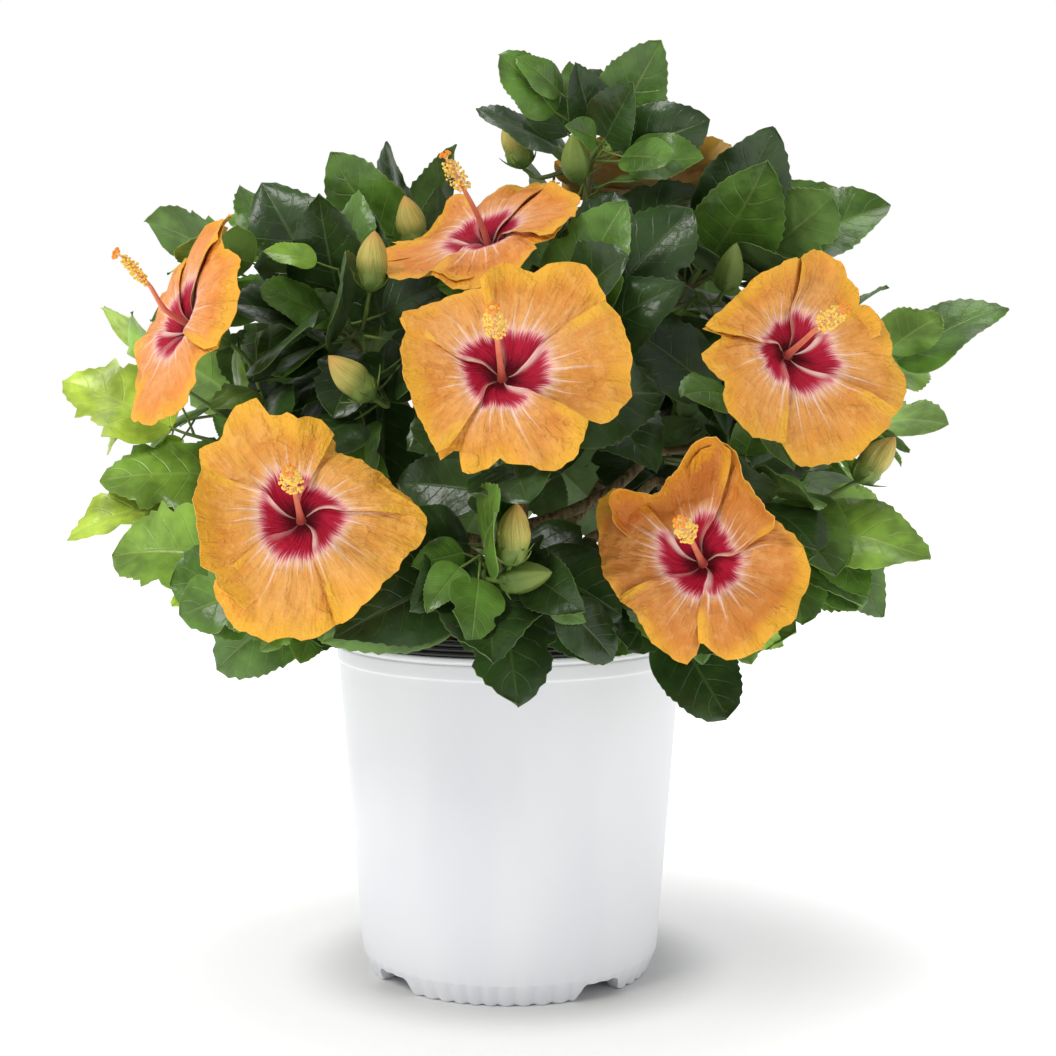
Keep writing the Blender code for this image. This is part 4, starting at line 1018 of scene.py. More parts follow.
def add_shell(pile, grid, uv, skin, top_slot=0, under_slot=0):
    """A thin closed skin over a grid (rows, columns, 3): its top, its underside and its rim."""
    rows, columns = grid.shape[:2]
    along = np.gradient(grid, axis=0)
    over = np.gradient(grid, axis=1)
    normals = unit(np.cross(over, along))
    under = grid - normals * skin
    count = rows * columns
    quads = grid_quads(rows, columns)
    flat_uv = uv.reshape(-1, 2)
    points = np.concatenate((grid.reshape(-1, 3), under.reshape(-1, 3)))
    loop = np.concatenate((np.arange(columns), np.arange(1, rows) * columns + columns - 1,
                           (rows - 1) * columns + np.arange(columns - 2, -1, -1),
                           np.arange(rows - 2, 0, -1) * columns))
    after = np.roll(loop, -1)
    rim = np.stack((after, loop, loop + count, after + count), axis=-1)
    base = pile.count
    pile.add(points, quads, flat_uv[quads.ravel()], top_slot, TOP)
    pile.add_faces(quads[:, ::-1] + count + base, flat_uv[quads[:, ::-1].ravel()], under_slot, UNDER)
    wider = 0.5 + (flat_uv - 0.5) * 1.04
    pile.add_faces(rim + base, np.concatenate((flat_uv, wider))[rim.ravel()], under_slot, UNDER)


def smooth_path(points, steps):
    """A finer path through the points, along a smooth curve."""
    found = []
    padded = [points[0] * 2 - points[1]] + list(points) + [points[-1] * 2 - points[-2]]
    for i in range(1, len(padded) - 2):
        a, b, c, d = padded[i - 1:i + 3]
        for k in range(steps):
            t = k / steps
            found.append(0.5 * (2 * b + (c - a) * t + (2 * a - 5 * b + 4 * c - d) * t * t
                                + (3 * b - a - 3 * c + d) * t ** 3))
    found.append(points[-1].copy())
    return found


def add_tube(pile, points, radii, sides, slot=0, relief=None, ends=True, chart=WHOLE):
    """A round tube through the points; `relief` adds to the radius at a point of it."""
    rings = []
    side = None
    path = list(points)
    radii = list(radii)
    if ends:
        path = [path[0]] + path + [path[-1]]
        radii = [1e-5] + radii + [1e-5]
    for i, point in enumerate(path):
        before = path[max(i - 1 - (i == len(path) - 1), 0)]
        after = path[min(i + 1 + (i == 0), len(path) - 1)]
        heading = (after - before).normalized()
        side = across(heading, side or ASKEW)
        up = heading.cross(side)
        ring = []
        for k in range(sides):
            out = spoke(math.tau * k / sides, side, up)
            radius = radii[i]
            if relief and radius > 1e-4:
                radius += relief(point + out * radius)
            ring.append(point + out * radius)
        rings.append(ring)
    grid = np.array([[tuple(p) for p in ring] for ring in rings])
    pile.add_round(grid, slot, chart)


def add_turned(pile, profile, sides, shape=None):
    """A profile of (radius, height) turned round Z; `shape` moves each (radius, angle, height)."""
    grid = np.zeros((len(profile), sides, 3))
    for i, (radius, height) in enumerate(profile):
        for k in range(sides):
            angle = math.tau * k / sides
            r, z = (radius, height) if shape is None else shape(radius, angle, height)
            grid[i, k] = (r * math.cos(angle), r * math.sin(angle), z)
    pile.add_round(grid)


# ================================================================ looks
def linear(red, green, blue):
    """A colour given in the usual 0-255 steps, as the shader's linear colour."""
    found = []
    for value in (red, green, blue):
        share = value / 255
        found.append(share / 12.92 if share <= 0.04045 else ((share + 0.055) / 1.055) ** 2.4)
    return (*found, 1.0)


class Value:
    """A value of a shader's pattern, which can be reckoned with like a number."""

    def __init__(self, pattern, socket):
        self.pattern = pattern
        self.socket = socket

    def reckon(self, operation, *others):
        return self.pattern.node("Math", dict(enumerate((self, *others))), "Value", operation=operation)

    def __add__(self, other):
        return self.reckon("ADD", other)

    def __sub__(self, other):
        return self.reckon("SUBTRACT", other)

    def __mul__(self, other):
        return self.reckon("MULTIPLY", other)

    def __truediv__(self, other):
        return self.reckon("DIVIDE", other)

    def __pow__(self, other):
        return self.reckon("POWER", other)

    def __abs__(self):
        return self.reckon("ABSOLUTE")

    def larger(self, other):
        return self.reckon("MAXIMUM", other)

    def smaller(self, other):
        return self.reckon("MINIMUM", other)

    def step(self, low, high, start=0.0, end=1.0):
        """The start at low and the end at high, smoothly between; low may be over high."""
        if low > high:
            low, high, start, end = high, low, end, start
        inputs = {"Value": self, "From Min": low, "From Max": high, "To Min": start, "To Max": end}
        return self.pattern.node("MapRange", inputs, "Result", interpolation_type="SMOOTHSTEP")


class Pattern:
    """The nodes of a material or a world."""

    def __init__(self, owner):
        owner.use_nodes = True
        self.nodes = owner.node_tree.nodes
        self.links = owner.node_tree.links

    def fill(self, socket, value):
        if isinstance(value, Value):
            self.links.new(value.socket, socket)
        else:
            socket.default_value = value

    def node(self, kind, inputs, output, **settings):
        """A new node's output, with its settings and inputs filled."""
        node = self.nodes.new("ShaderNode" + kind)
        for name, value in settings.items():
            setattr(node, name, value)
        for key, value in inputs.items():
            self.fill(node.inputs[key], value)
        return Value(self, node.outputs[output])


class Look(Pattern):
    """A Principled material, whose colours are laid one over the other."""

    def __init__(self, name, roughness, specular):
        self.material = bpy.data.materials.new(name)
        super().__init__(self.material)
        self.ground = None
        self.shade(**{"Roughness": roughness, "Specular IOR Level": specular})

    def shade(self, **inputs):
        for name, value in inputs.items():
            self.fill(self.nodes["Principled BSDF"].inputs[name], value)

    def place(self, stretch=(1, 1, 1)):
        """Places on the object in metres."""
        inputs = {"Vector": self.node("TexCoord", {}, "Object"), "Scale": stretch}
        return self.node("Mapping", inputs, "Vector")

    def grain(self):
        """The two UV values of a point."""
        places = self.node("UVMap", {}, "UV", uv_map="Grain")
        return [self.node("SeparateXYZ", {"Vector": places}, axis) for axis in "XY"]

    def noise(self, scale, detail=2.0, rough=0.5, at=None):
        inputs = {"Vector": at or self.place(), "Scale": scale, "Detail": detail, "Roughness": rough}
        return self.node("TexNoise", inputs, "Fac")

    def mix(self, share, a, b):
        """Colour a, and b by a share; colours in 0-255 steps have three values."""
        a, b = (linear(*c) if isinstance(c, tuple) and len(c) == 3 else c for c in (a, b))
        return self.node("Mix", {"Factor": share, 6: a, 7: b}, 2, data_type="RGBA")

    def lay(self, share, colour):
        """Lays a colour over the ground by a share."""
        self.ground = self.mix(share, self.ground, colour)

    def finish(self, height, distance, strength):
        """The material, with its colour and a bump."""
        inputs = {"Height": height, "Distance": distance, "Strength": strength}
        self.shade(**{"Base Color": self.ground, "Normal": self.node("Bump", inputs, "Normal")})
        return self.material


def leaf_look(name, colour, vein, roughness, under=False):
    """Leaf skin: veins along the blade's own map, mottling, a pale margin, and a fine grain."""
    look = Look(name, roughness, 0.25 if under else 0.42)
    across_blade, along = look.grain()
    off = abs(across_blade - 0.5)
    waves = (off * (-2 * VEIN_SLOPE) + along + look.noise(90.0) * 0.03) * VEINS
    lateral = abs(waves.reckon("FRACT") - 0.5).step(0.435, 0.49) * off.step(0.46, 0.25)
    veins = off.step(0.030, 0.008).larger(lateral * 0.6)
    deep = tuple(c * 0.62 for c in colour[:3]) + (1.0,)
    light = tuple(min(c * 1.45, 1.0) for c in colour[:3]) + (1.0,)
    look.ground = look.mix(look.noise(34.0, 3.0, 0.6).step(0.30, 0.70), deep, light)
    look.lay(veins * 0.30, vein)
    look.lay(off.step(0.478, 0.497) * 0.30, vein)
    height = veins
    if not under:
        height = look.noise(130.0) * 1.6 + look.noise(420.0) * 0.35 - veins
    return look.finish(height, 0.0006, 0.6)


def lay_rays(look, around, along):
    """Thin white rays out of the eye, each of its own length."""
    for count, width, short, spread, strength in RAYS:
        lanes = around * count
        own = look.node("TexWhiteNoise", {"W": lanes.reckon("FLOOR")}, "Value", noise_dimensions="1D")
        far = own * spread + short
        left = ((far - along) / (far - RAY_START)).larger(0.0).smaller(1.0)
        middle = abs(lanes.reckon("FRACT") - 0.5)
        ray = (middle - left * width).step(0.06, -0.04) * left ** 0.55
        look.lay(ray * strength, (255, 226, 214))


def petal_look(name, shift, peach, gold, folded):
    """Petal skin: crimson eye, thin white rays, crumpled peach and golden ground, yellow margin; the
    crumple's raised parts carry a painted highlight, its creases and the pleats' hollows painted shade.
    """
    look = Look(name, 0.50, 0.22)
    side, along = look.grain()
    around = side + shift

    def streaks(over, up, *kind):
        at = look.node("CombineXYZ", {"X": around * over, "Y": along * up, "Z": shift}, "Vector")
        return look.noise(1.0, *kind, at=at)

    fibres = streaks(52.0, 2.6, 3.0, 0.6)
    pleats = streaks(19.0, 4.5)
    bend = streaks(5.0, 0.7)
    cloud = look.noise(24.0)
    crumple = look.noise(120.0, 3.0, 0.55)
    crease = abs(crumple - 0.5).step(0.085, 0.0)
    zone = cloud.step(0.46, 0.62) * along.step(0.34, 0.66)
    edge = (cloud - 0.5) * 0.60 + along
    margin = edge.step(0.78, 1.02).larger(side.step(0.10, 0.02) * along.step(0.50, 0.72))
    look.ground = look.mix((cloud * 0.7 + along).step(0.75, 1.25), peach, gold)
    # painted highlight: lighter where the crumple stands up
    look.lay(crumple.step(0.40, 0.72) * 0.25, (252, 200, 124))
    look.lay(fibres.step(0.50, 0.66) * 0.22, (206, 116, 52))
    # painted shade: darker in the pleats' hollows
    look.lay(pleats.step(0.52, 0.66) * 0.26, (208, 118, 46))
    look.lay(zone * 0.30, (210, 120, 44))
    # painted shade: darker along the crumple's creases, more inside the zone
    look.lay(crease * (zone * 0.26 + 0.02), (186, 102, 40))
    look.lay(margin * 0.68, (243, 186, 54))
    lay_rays(look, bend * 0.06 + around, along)
    eye = (bend - 0.5) * 0.10 + (fibres - 0.5) * 0.22 + along
    look.lay(eye.step(0.47, 0.33) * 0.55, (252, 214, 206))
    look.lay(eye.step(0.385, 0.31) * 0.80, (226, 92, 128))
    look.lay(eye.step(0.345, 0.27), (188, 18, 54))
    look.lay(fibres.step(0.56, 0.42) * 0.35, look.mix(eye.step(0.36, 0.30), look.ground, (142, 8, 34)))
    look.lay(eye.step(0.19, 0.05), (104, 8, 26))
    look.lay(side.step(0.13, 0.03) * along.step(0.38, 0.24) * folded, (250, 208, 198))
    height = fibres * 0.40 + crumple * 1.3 - pleats * 0.9 - crease * (zone * 0.12 + 0.01)
    return look.finish(height, 0.0030, 0.85)


def gradient_look(name, roughness, *stops, mottle=0.18, bump=0.0003):
    """A skin whose colour changes along its second UV value, with fine mottling."""
    look = Look(name, roughness, 0.35)
    _, along = look.grain()
    look.ground = stops[0][1]
    for (low, _), (high, colour) in zip(stops, stops[1:]):
        look.lay(along.step(low, high), colour)
    spots = look.noise(160.0, 3.0)
    darker = look.node("HueSaturation", {"Value": 0.62, "Color": look.ground}, "Color")
    look.lay(spots.step(0.45, 0.7) * (mottle * 2), darker)
    return look.finish(spots, bump, 0.5)


def bud_look():
    """Furled petals: green at the foot, straw above, a warm tip, and fine darker veins."""
    look = Look("bud_petals", 0.5, 0.3)
    side, along = look.grain()
    at = look.node("CombineXYZ", {"X": along * 5.0 + side * 60.0, "Y": along * 2.0}, "Vector")
    veins = look.noise(1.0, at=at)
    level = (look.noise(70.0) - 0.5) * 0.3 + along
    look.ground = look.mix(level.step(0.25, 0.60), (140, 154, 76), (196, 184, 98))
    look.lay(level.step(0.62, 1.02), (214, 168, 88))
    look.lay(veins.step(0.50, 0.62) * 0.45, (146, 128, 52))
    return look.finish(veins, 0.0009, 0.7)


def bark_look():
    """Brown bark with greener patches, both drawn out along the trunk."""
    look = Look("bark", 0.78, 0.3)
    fine = look.noise(420.0, 4.0, 0.6, at=look.place((1, 1, 0.30)))
    look.ground = look.mix(fine.step(0.35, 0.65), (88, 68, 46), (150, 128, 96))
    broad = look.noise(60.0, at=look.place((1, 1, 0.5)))
    look.lay(broad.step(0.45, 0.7) * 0.6, (104, 104, 62))
    return look.finish(fine, 0.0010, 0.8)


def soil_look():
    look = Look("soil", 0.95, 0.2)
    fine = look.noise(900.0, 4.0, 0.65)
    look.ground = look.mix(fine.step(0.35, 0.65), (24, 17, 12), (74, 54, 38))
    look.lay(look.noise(120.0).step(0.4, 0.7) * 0.5, (46, 32, 22))
    return look.finish(fine, 0.0014, 0.9)


def chip_look(name, low, high):
    look = Look(name, 0.9, 0.25)
    fine = look.noise(500.0, 3.0, 0.6)
    look.ground = look.mix(fine.step(0.35, 0.65), low, high)
    return look.finish(fine, 0.0006, 0.7)


def pot_look():
    """White moulded plastic: a satin skin with a faint flow of tone and a very fine texture."""
    look = Look("white_plastic", 0.34, 0.45)
    flow = look.noise(16.0, at=look.place((1, 1, 0.25)))
    look.ground = look.mix(flow.step(0.3, 0.7), (229, 230, 235), (236, 237, 240))
    look.shade(Roughness=flow * 0.10 + 0.29)
    return look.finish(look.noise(1500.0), 0.00010, 0.35)


def liner_look():
    """Black plastic, dusty in places."""
    look = Look("black_plastic", 0.36, 0.5)
    dust = look.noise(45.0, 3.0)
    look.ground = look.mix(dust.step(0.45, 0.75), (16, 16, 17), (40, 37, 34))
    look.shade(Roughness=dust * 0.30 + 0.24)
    return look.finish(look.noise(700.0, at=look.place((1, 1, 3))), 0.0002, 0.4)


# ================================================================ leaves
def blade_outline(t, blunt):
    """The half width along the blade as a share of its most: broad below, pointed at the tip."""
    rise = 0.46
    fall = 0.95 - 0.40 * blunt
    peak = rise / (rise + fall)
    most = peak ** rise * (1 - peak) ** fall
    return np.clip(t, 0, 1) ** rise * np.clip(1 - t, 0, 1) ** fall / most


def add_leaf(pile, leaf, chance):
    """A toothed, folded and quilted blade with its petiole."""
    length = leaf.length
    blunt = chance.uniform(0.0, 1.0)
    wide = LEAF_HALF_WIDTH * length * chance.uniform(0.92, 1.08) * (1 - 0.22 * leaf.young)
    row = np.arange(BLADE_ROWS)
    t = (0.004 + 0.996 * row / (BLADE_ROWS - 1))[:, None]
    u = np.array(BLADE_COLUMNS)[None, :]
    off = np.abs(u)
    half = wide * np.maximum(blade_outline(t, blunt), 0.012)
    ramp = np.clip((t - TEETH_FROM) / 0.18, 0, 1) * np.clip((0.99 - t) / 0.05, 0, 1)
    peak = (row % 2 == 0)[:, None]
    rim = off ** 6
    tooth = np.array([chance.uniform(0.15, 1.3) for _ in range(BLADE_ROWS)])[:, None] * ramp
    half = half * (1 + rim * tooth * np.where(peak, *TEETH))
    forward = t + rim * tooth * np.where(peak, *TEETH_FORWARD) / BLADE_ROWS
    lobed = max(LOBED_FROM - leaf.base.x, 0.0) / LOBED_OVER
    if chance.random() < 0.22 + 0.6 * lobed:
        where = chance.uniform(0.48, 0.66)
        half = half * (1 - 0.24 * off ** 2 * np.exp(-((t - where) / 0.055) ** 2))
        coarse = (3.6 * t + chance.uniform(0, 1)) % 1
        jagged = 0.30 * min(lobed, 1.0) * off ** 3 * (coarse ** 1.5 - 0.55)
        half = half * (1 + jagged * smooth(t, 0.22, 0.36))
    fold = LEAF_FOLD * chance.uniform(0.3, 1.5)
    curl = chance.uniform(-0.06, 0.22)
    lift = half * (fold * off ** 1.2 - curl * off ** 3)
    turns = chance.uniform(1.1, 2.2)
    for sign in (-1, 1):
        phase = chance.uniform(0, math.tau)
        swing = BLADE_SWING * length * np.where(u * sign > 0, off ** 2, 0)
        lift = lift + swing * np.sin(math.tau * turns * t + phase) * np.clip(3 * t, 0, 1)
    between = np.abs(np.sin(math.pi * (VEINS * (t - VEIN_SLOPE * off)))) ** 0.8
    quilt = BLADE_QUILT * length * (1 - 0.6 * leaf.young) * between * 4 * off * (1 - off)
    lift = lift + quilt * np.sin(math.pi * t) ** 0.5
    lift = lift - MIDRIB_GROOVE * length * np.exp(-(u / 0.09) ** 2) * np.sin(math.pi * t)
    tip = chance.uniform(-0.05, 0.09)
    lift = lift - tip * length * np.clip((t - 0.55) / 0.45, 0, 1) ** 2
    sway = chance.uniform(-0.05, 0.05) * length * t ** 2
    heading, side, normal = (np.array(v) for v in (leaf.heading, leaf.side, leaf.normal))
    twist = chance.uniform(-0.35, 0.35) * t
    side_now = side * np.cos(twist)[..., None] + normal * np.sin(twist)[..., None]
    normal_now = normal * np.cos(twist)[..., None] - side * np.sin(twist)[..., None]
    middle = np.array(leaf.base) + heading * (forward * length)[..., None]
    middle = middle - normal * (LEAF_DROOP * t * t * length)[..., None] + side * sway[..., None]
    grid = middle + side_now * (u * half)[..., None] + normal_now * lift[..., None]
    uv = np.stack(np.broadcast_arrays(0.5 + 0.5 * u, t), axis=-1)
    pile.next_block()
    add_shell(pile, grid, uv, BLADE_SKIN, 0, 1)
    bend = leaf.root.lerp(leaf.base, 0.5) - leaf.normal * 0.06 * (leaf.base - leaf.root).length
    stalk = curve_points(leaf.root, bend, leaf.spine(0.03), 5)
    thin = 0.55 + 0.45 * min(leaf.length / LEAF_LENGTH, 1.0)
    add_tube(pile, stalk, [radius * thin for radius in STALK_RADII], 6, slot=2, chart=STALK)


def green_with_painted_light(leaf, chance):
    """Which green a leaf has, partly painted light and shade: deeper inside the crown, where shade
    falls, lighter outside, brightest on the left, where the key light falls; also lighter when young, a
    little darker at the top, lighter at the right and darker low at the front.
    """
    middle = leaf.spine(0.5)
    out = math.sqrt(crown_share(middle))
    # painted shade and light: the score falls towards the crown's middle and rises on the left; the
    # young and random shares are the leaves' own tone
    score = 0.9 * (out - 0.62) + 0.55 * leaf.young + chance.uniform(-0.24, 0.24)
    score += 0.60 * max(-0.12 - middle.x, 0) / 0.15 - 0.16 * max(middle.z - 0.46, 0) / 0.1
    score += 0.25 * float(smooth(middle.x, 0.18, 0.28))
    score -= 0.24 * float(smooth(-middle.y, 0.10, 0.19)) * float(smooth(-middle.z, -0.36, -0.30))
    return next((tint for tint, most in TINTS if score < most), "bright")


# ================================================================ blooms
def plain_plan(bloom):
    """The overlap, edges, rolls and rim of a bloom that has no plan of its own."""
    chance = random.Random(f"plan {bloom[0]}")
    start = chance.uniform(0, 72)
    rim = []
    for k in range(PETALS):
        size = chance.uniform(0.93, 1.04)
        for angle, share in PLAIN_RIM:
            turned = start + 72 * k + angle + chance.uniform(-2, 2)
            rim.append((turned, share * size * chance.uniform(0.97, 1.03)))
    edges = tuple(start + 72 * k + chance.uniform(-5, 5) for k in range(PETALS))
    rolls = tuple(chance.uniform(-0.3, 0.9) for _ in range(PETALS))
    return dict(hand=chance.choice((-1, 1)), edges=edges, rolls=rolls, rim=rim)


def read_rim(plan):
    """The rim's angles and shares, in order."""
    points = plan["rim"]
    if isinstance(points, str):
        points = [tuple(map(float, pair.split(":"))) for pair in points.split()]
    points = sorted((angle % 360, share) for angle, share in points)
    return [angle for angle, _ in points], [share for _, share in points]


def smooth(value, low, high):
    share = np.clip((value - low) / (high - low), 0, 1)
    return share * share * (3 - 2 * share)


def petal_rise(s, t, angle, share, roll, swells, wrinkles, chance):
    """How far a petal stands forward: its throat, its front edge, its rolled rim, and its waves."""
    rise = -THROAT_DEPTH * np.clip(1 - share / 0.44, 0, 1) ** 1.5
    rise = rise - 0.0014 * s * smooth(t, 0, 0.25)
    lip = smooth(-s, 0.70, 1.0) * smooth(t, 0.04, 0.14) * (1 - smooth(t, 0.28, 0.50))
    rise = rise + 0.0032 * chance.choice((0.25, 0.5, 1.0)) * lip
    free_edge = smooth(-s, 0.78, 1.0) * smooth(t, 0.38, 0.62) * (1 - smooth(t, 0.90, 1.0))
    rise = rise + 0.0024 * chance.uniform(0.4, 1.3) * free_edge
    rise = rise + roll * 0.013 * np.clip((t - 0.62) / 0.38, 0, 1) ** 2
    rim = np.clip((t - 0.30) / 0.70, 0, 1)
    for n, size, phase in swells:
        rise = rise + size * rim ** 1.5 * np.sin(n * angle + phase)
    for n, size, phase in wrinkles:
        rise = rise + size * smooth(t, 0.15, 0.5) * np.sin(n * angle + phase + 3 * t)
    rise = rise + 0.0010 * rim * np.sin(2.4 * s + chance.uniform(0, 6.3))
    return rise - 0.007 * np.clip(share - 0.5, 0, 1) ** 2


def add_petals(pile, bloom, plan):
    """Five broad petals, each with its front edge over the petal before it."""
    hand = plan["hand"]
    angles, shares = read_rim(plan)
    order = sorted(range(PETALS), key=lambda k: hand * plan["edges"][k])
    fronts = [hand * plan["edges"][k] for k in order]
    even = sum(front - 72 * k for k, front in enumerate(fronts)) / PETALS
    throat = np.array(bloom[0])
    axis, right, up = (np.array(v) for v in bloom_frame(plan.get("face", bloom[1])))
    s = np.linspace(-1, 1, PETAL_COLUMNS)[None, :]
    t = (np.linspace(0, 1, PETAL_ROWS) ** 0.92)[:, None]
    bend = smooth(t, 0.10, 0.75)
    overlap = 10 + 22 * smooth(t, 0, 0.15) - 8 * smooth(t, 0.5, 1)
    twist = PETAL_TWIST * (1 - smooth(t, 0.02, 0.34))
    waves = random.Random(f"waves {bloom[0]}")
    own = bloom[0][0] * 50
    swells, wrinkles = (
        [(n, size, waves.uniform(0, 6.3)) for n, size in kind] for kind in (SWELLS, WRINKLES))
    for k in range(PETALS):
        chance = random.Random(f"{bloom[0]}-{k}")
        roll = plan["rolls"][order[k]]
        after = fronts[k + 1] if k + 1 < PETALS else fronts[0] + 360
        front = even + 72 * k + (fronts[k] - even - 72 * k) * bend
        following = even + 72 * (k + 1) + (after - even - 72 * (k + 1)) * bend
        turned = front + (following + overlap - front) * (s + 1) / 2
        angle = np.radians((turned + twist) * hand)
        outer = turned[-1] * hand
        reach = np.interp(outer % 360, angles, shares, period=360)
        hidden = np.clip((turned[-1] - after) / 23.0, 0, 1)
        ruffle = sum(size * np.sin(n * s[0] + chance.uniform(0, 6.3)) for n, size in RUFFLES)
        reach = (reach * (1 - 0.13 * hidden) * (1 + ruffle))[None, :]
        radius = PETAL_START + (reach * BLOOM_RADIUS - PETAL_START) * t
        rise = petal_rise(s, t, angle, radius / BLOOM_RADIUS, roll, swells, wrinkles, chance)
        if roll > 0.6:
            radius = radius - (roll - 0.5) * 0.006 * np.clip((t - 0.80) / 0.20, 0, 1) ** 2
        flat = np.stack((radius * np.cos(angle), radius * np.sin(angle)), axis=-1).reshape(-1, 2)
        places = (Vector((x * CRUMPLE_FINE, y * CRUMPLE_FINE, own)) for x, y in flat)
        crumple = np.array([noise.noise(spot) for spot in places])
        rise = rise + CRUMPLE * crumple.reshape(rise.shape) * smooth(t, 0.30, 0.60)
        out = spoke_grid(angle, right, up)
        grid = throat + out * radius[..., None] + axis * rise[..., None]
        uv = np.stack(np.broadcast_arrays(0.5 + 0.5 * s, t), axis=-1)
        if hand > 0:
            grid, uv = grid[:, ::-1], uv[:, ::-1]
        pile.next_block()
        add_shell(pile, grid, uv, PETAL_SKIN, k % 2, 2)


def column_point(bloom, share):
    """A point on the column's middle, from the throat's floor (0) to its tip (1)."""
    throat = Vector(bloom[0])
    axis, _, up = bloom_frame(bloom[1])
    height = share * (COLUMN + THROAT_DEPTH) - THROAT_DEPTH
    bent = float(smooth(height / COLUMN, -0.1, 0.5))
    return throat + axis.lerp(column_way(bloom), bent) * height + up * 0.002 * math.sin(3.1 * share)


def rows_and_turns(rows, columns):
    """Shares up the rows of a round grid, and the angles of its columns."""
    turns = np.linspace(0, math.tau, columns, endpoint=False)
    return np.linspace(0, 1, rows)[:, None], turns[None, :]


def round_grid(foot, axis, height, radius, turns):
    """A grid round an axis, from its heights and radii at the angles; also its spokes."""
    side = across(axis, ASKEW)
    spokes = spoke_grid(turns, side, axis.cross(side))
    return np.array(foot) + np.array(axis) * height[..., None] + spokes * radius[..., None], spokes


def spoke_grid(turns, side, up):
    return np.cos(turns)[..., None] * np.array(side) + np.sin(turns)[..., None] * np.array(up)


def add_ball(pile, centre, radius, slot, rings=5, sides=6, long=1.0, axis=UP, chart=WHOLE):
    """A small ball, longer or shorter along its axis."""
    polar_angle = np.linspace(0.02, math.pi - 0.02, rings)[:, None]
    turns = rows_and_turns(1, sides)[1]
    height = radius * long * np.cos(polar_angle)
    grid, _ = round_grid(centre, axis, height, radius * np.sin(polar_angle), turns)
    pile.add_round(grid, slot, chart, flipped=True)


def add_column(pile, bloom, full):
    """The column: a coral tube, filaments with yellow anthers near its end, and five stigma pads."""
    chance = random.Random(f"column {bloom[0]}")
    axis, right, up = bloom_frame(bloom[1])
    path = [column_point(bloom, share) for share in np.linspace(0.0, COLUMN_TIP, len(COLUMN_RADII))]
    pile.next_block()
    add_tube(pile, path, COLUMN_RADII, 10, chart=QUARTERS[0])

    def add_filament(root, end, lift, radii, sides):
        middle = root.lerp(end, 0.5) + axis * lift
        add_tube(pile, [root, middle, end], radii, sides, slot=1, ends=False, chart=QUARTERS[1])

    first, over = ANTHERS_FROM, ANTHERS_OVER
    for k in range(ANTHERS):
        share = first + over * k / (ANTHERS - 1)
        root = column_point(bloom, share)
        turn = GOLDEN_TURN * k + chance.uniform(-0.2, 0.2)
        out = (spoke(turn, right, up) + axis * chance.uniform(-0.15, 0.55)).normalized()
        shorter = 1 - 0.35 * abs(2 * (share - first) / over - 0.9)
        end = root + out * (FILAMENT * full * shorter * chance.uniform(0.75, 1.12))
        add_filament(root, end, 0.0003, (0.00020, 0.00016, 0.00014), 4)
        size = ANTHER * chance.uniform(0.8, 1.15)
        add_ball(pile, end, size, 2, long=0.75, axis=out, chart=QUARTERS[2])
    top = column_point(bloom, COLUMN_TIP)
    for k in range(PETALS):
        out = (spoke(math.tau * k / PETALS + 0.4, right, up) * 0.75 + axis).normalized()
        end = top + out * 0.0046
        add_filament(top, end, 0.0004, (0.0004, 0.0003, 0.0003), 5)
        add_ball(pile, end, STIGMA, 3, rings=6, sides=8, long=0.7, axis=out, chart=QUARTERS[3])


def add_calyx(pile, foot, axis, length, radius, turn, open_out=0.0):
    """A green five-toothed cup round the foot of a bloom or bud, with narrow bracts under it."""
    pile.next_block()
    t, turns = rows_and_turns(12, 40)
    lobe = np.abs(((turns + turn) * 5 / math.tau) % 1 - 0.5) * 2
    height = length * t * (0.60 + 0.40 * (1 - lobe) ** 0.8)
    around = radius * (0.20 + 0.80 * np.clip(t / 0.42, 0, 1) ** 0.6) * (1 + open_out * t ** 2)
    around = around * (1 - 0.10 * np.clip(t - 0.6, 0, 1)) * (1 + 0.045 * np.cos(5 * (turns + turn)) * t)
    around = around * (1 + 0.03 * np.cos(10 * (turns + turn)) * t)
    grid, spokes = round_grid(foot, axis, height, around, turns)
    pile.add_round(grid)
    pile.add_round(grid - spokes * CALYX_SKIN, flipped=True)
    side = across(axis, ASKEW)
    for k in range(BRACTS):
        out = spoke(math.tau * (k + 0.3) / BRACTS + turn, side, axis.cross(side))
        start = foot + axis * 0.0005 + out * radius * 0.18
        middle = start + axis * length * 0.22 + out * radius * 0.95
        end = start + axis * length * 0.58 + out * radius * (1.05 + 0.35 * (k % 3))
        add_tube(pile, curve_points(start, middle, end, 5), BRACT_RADII, 5)


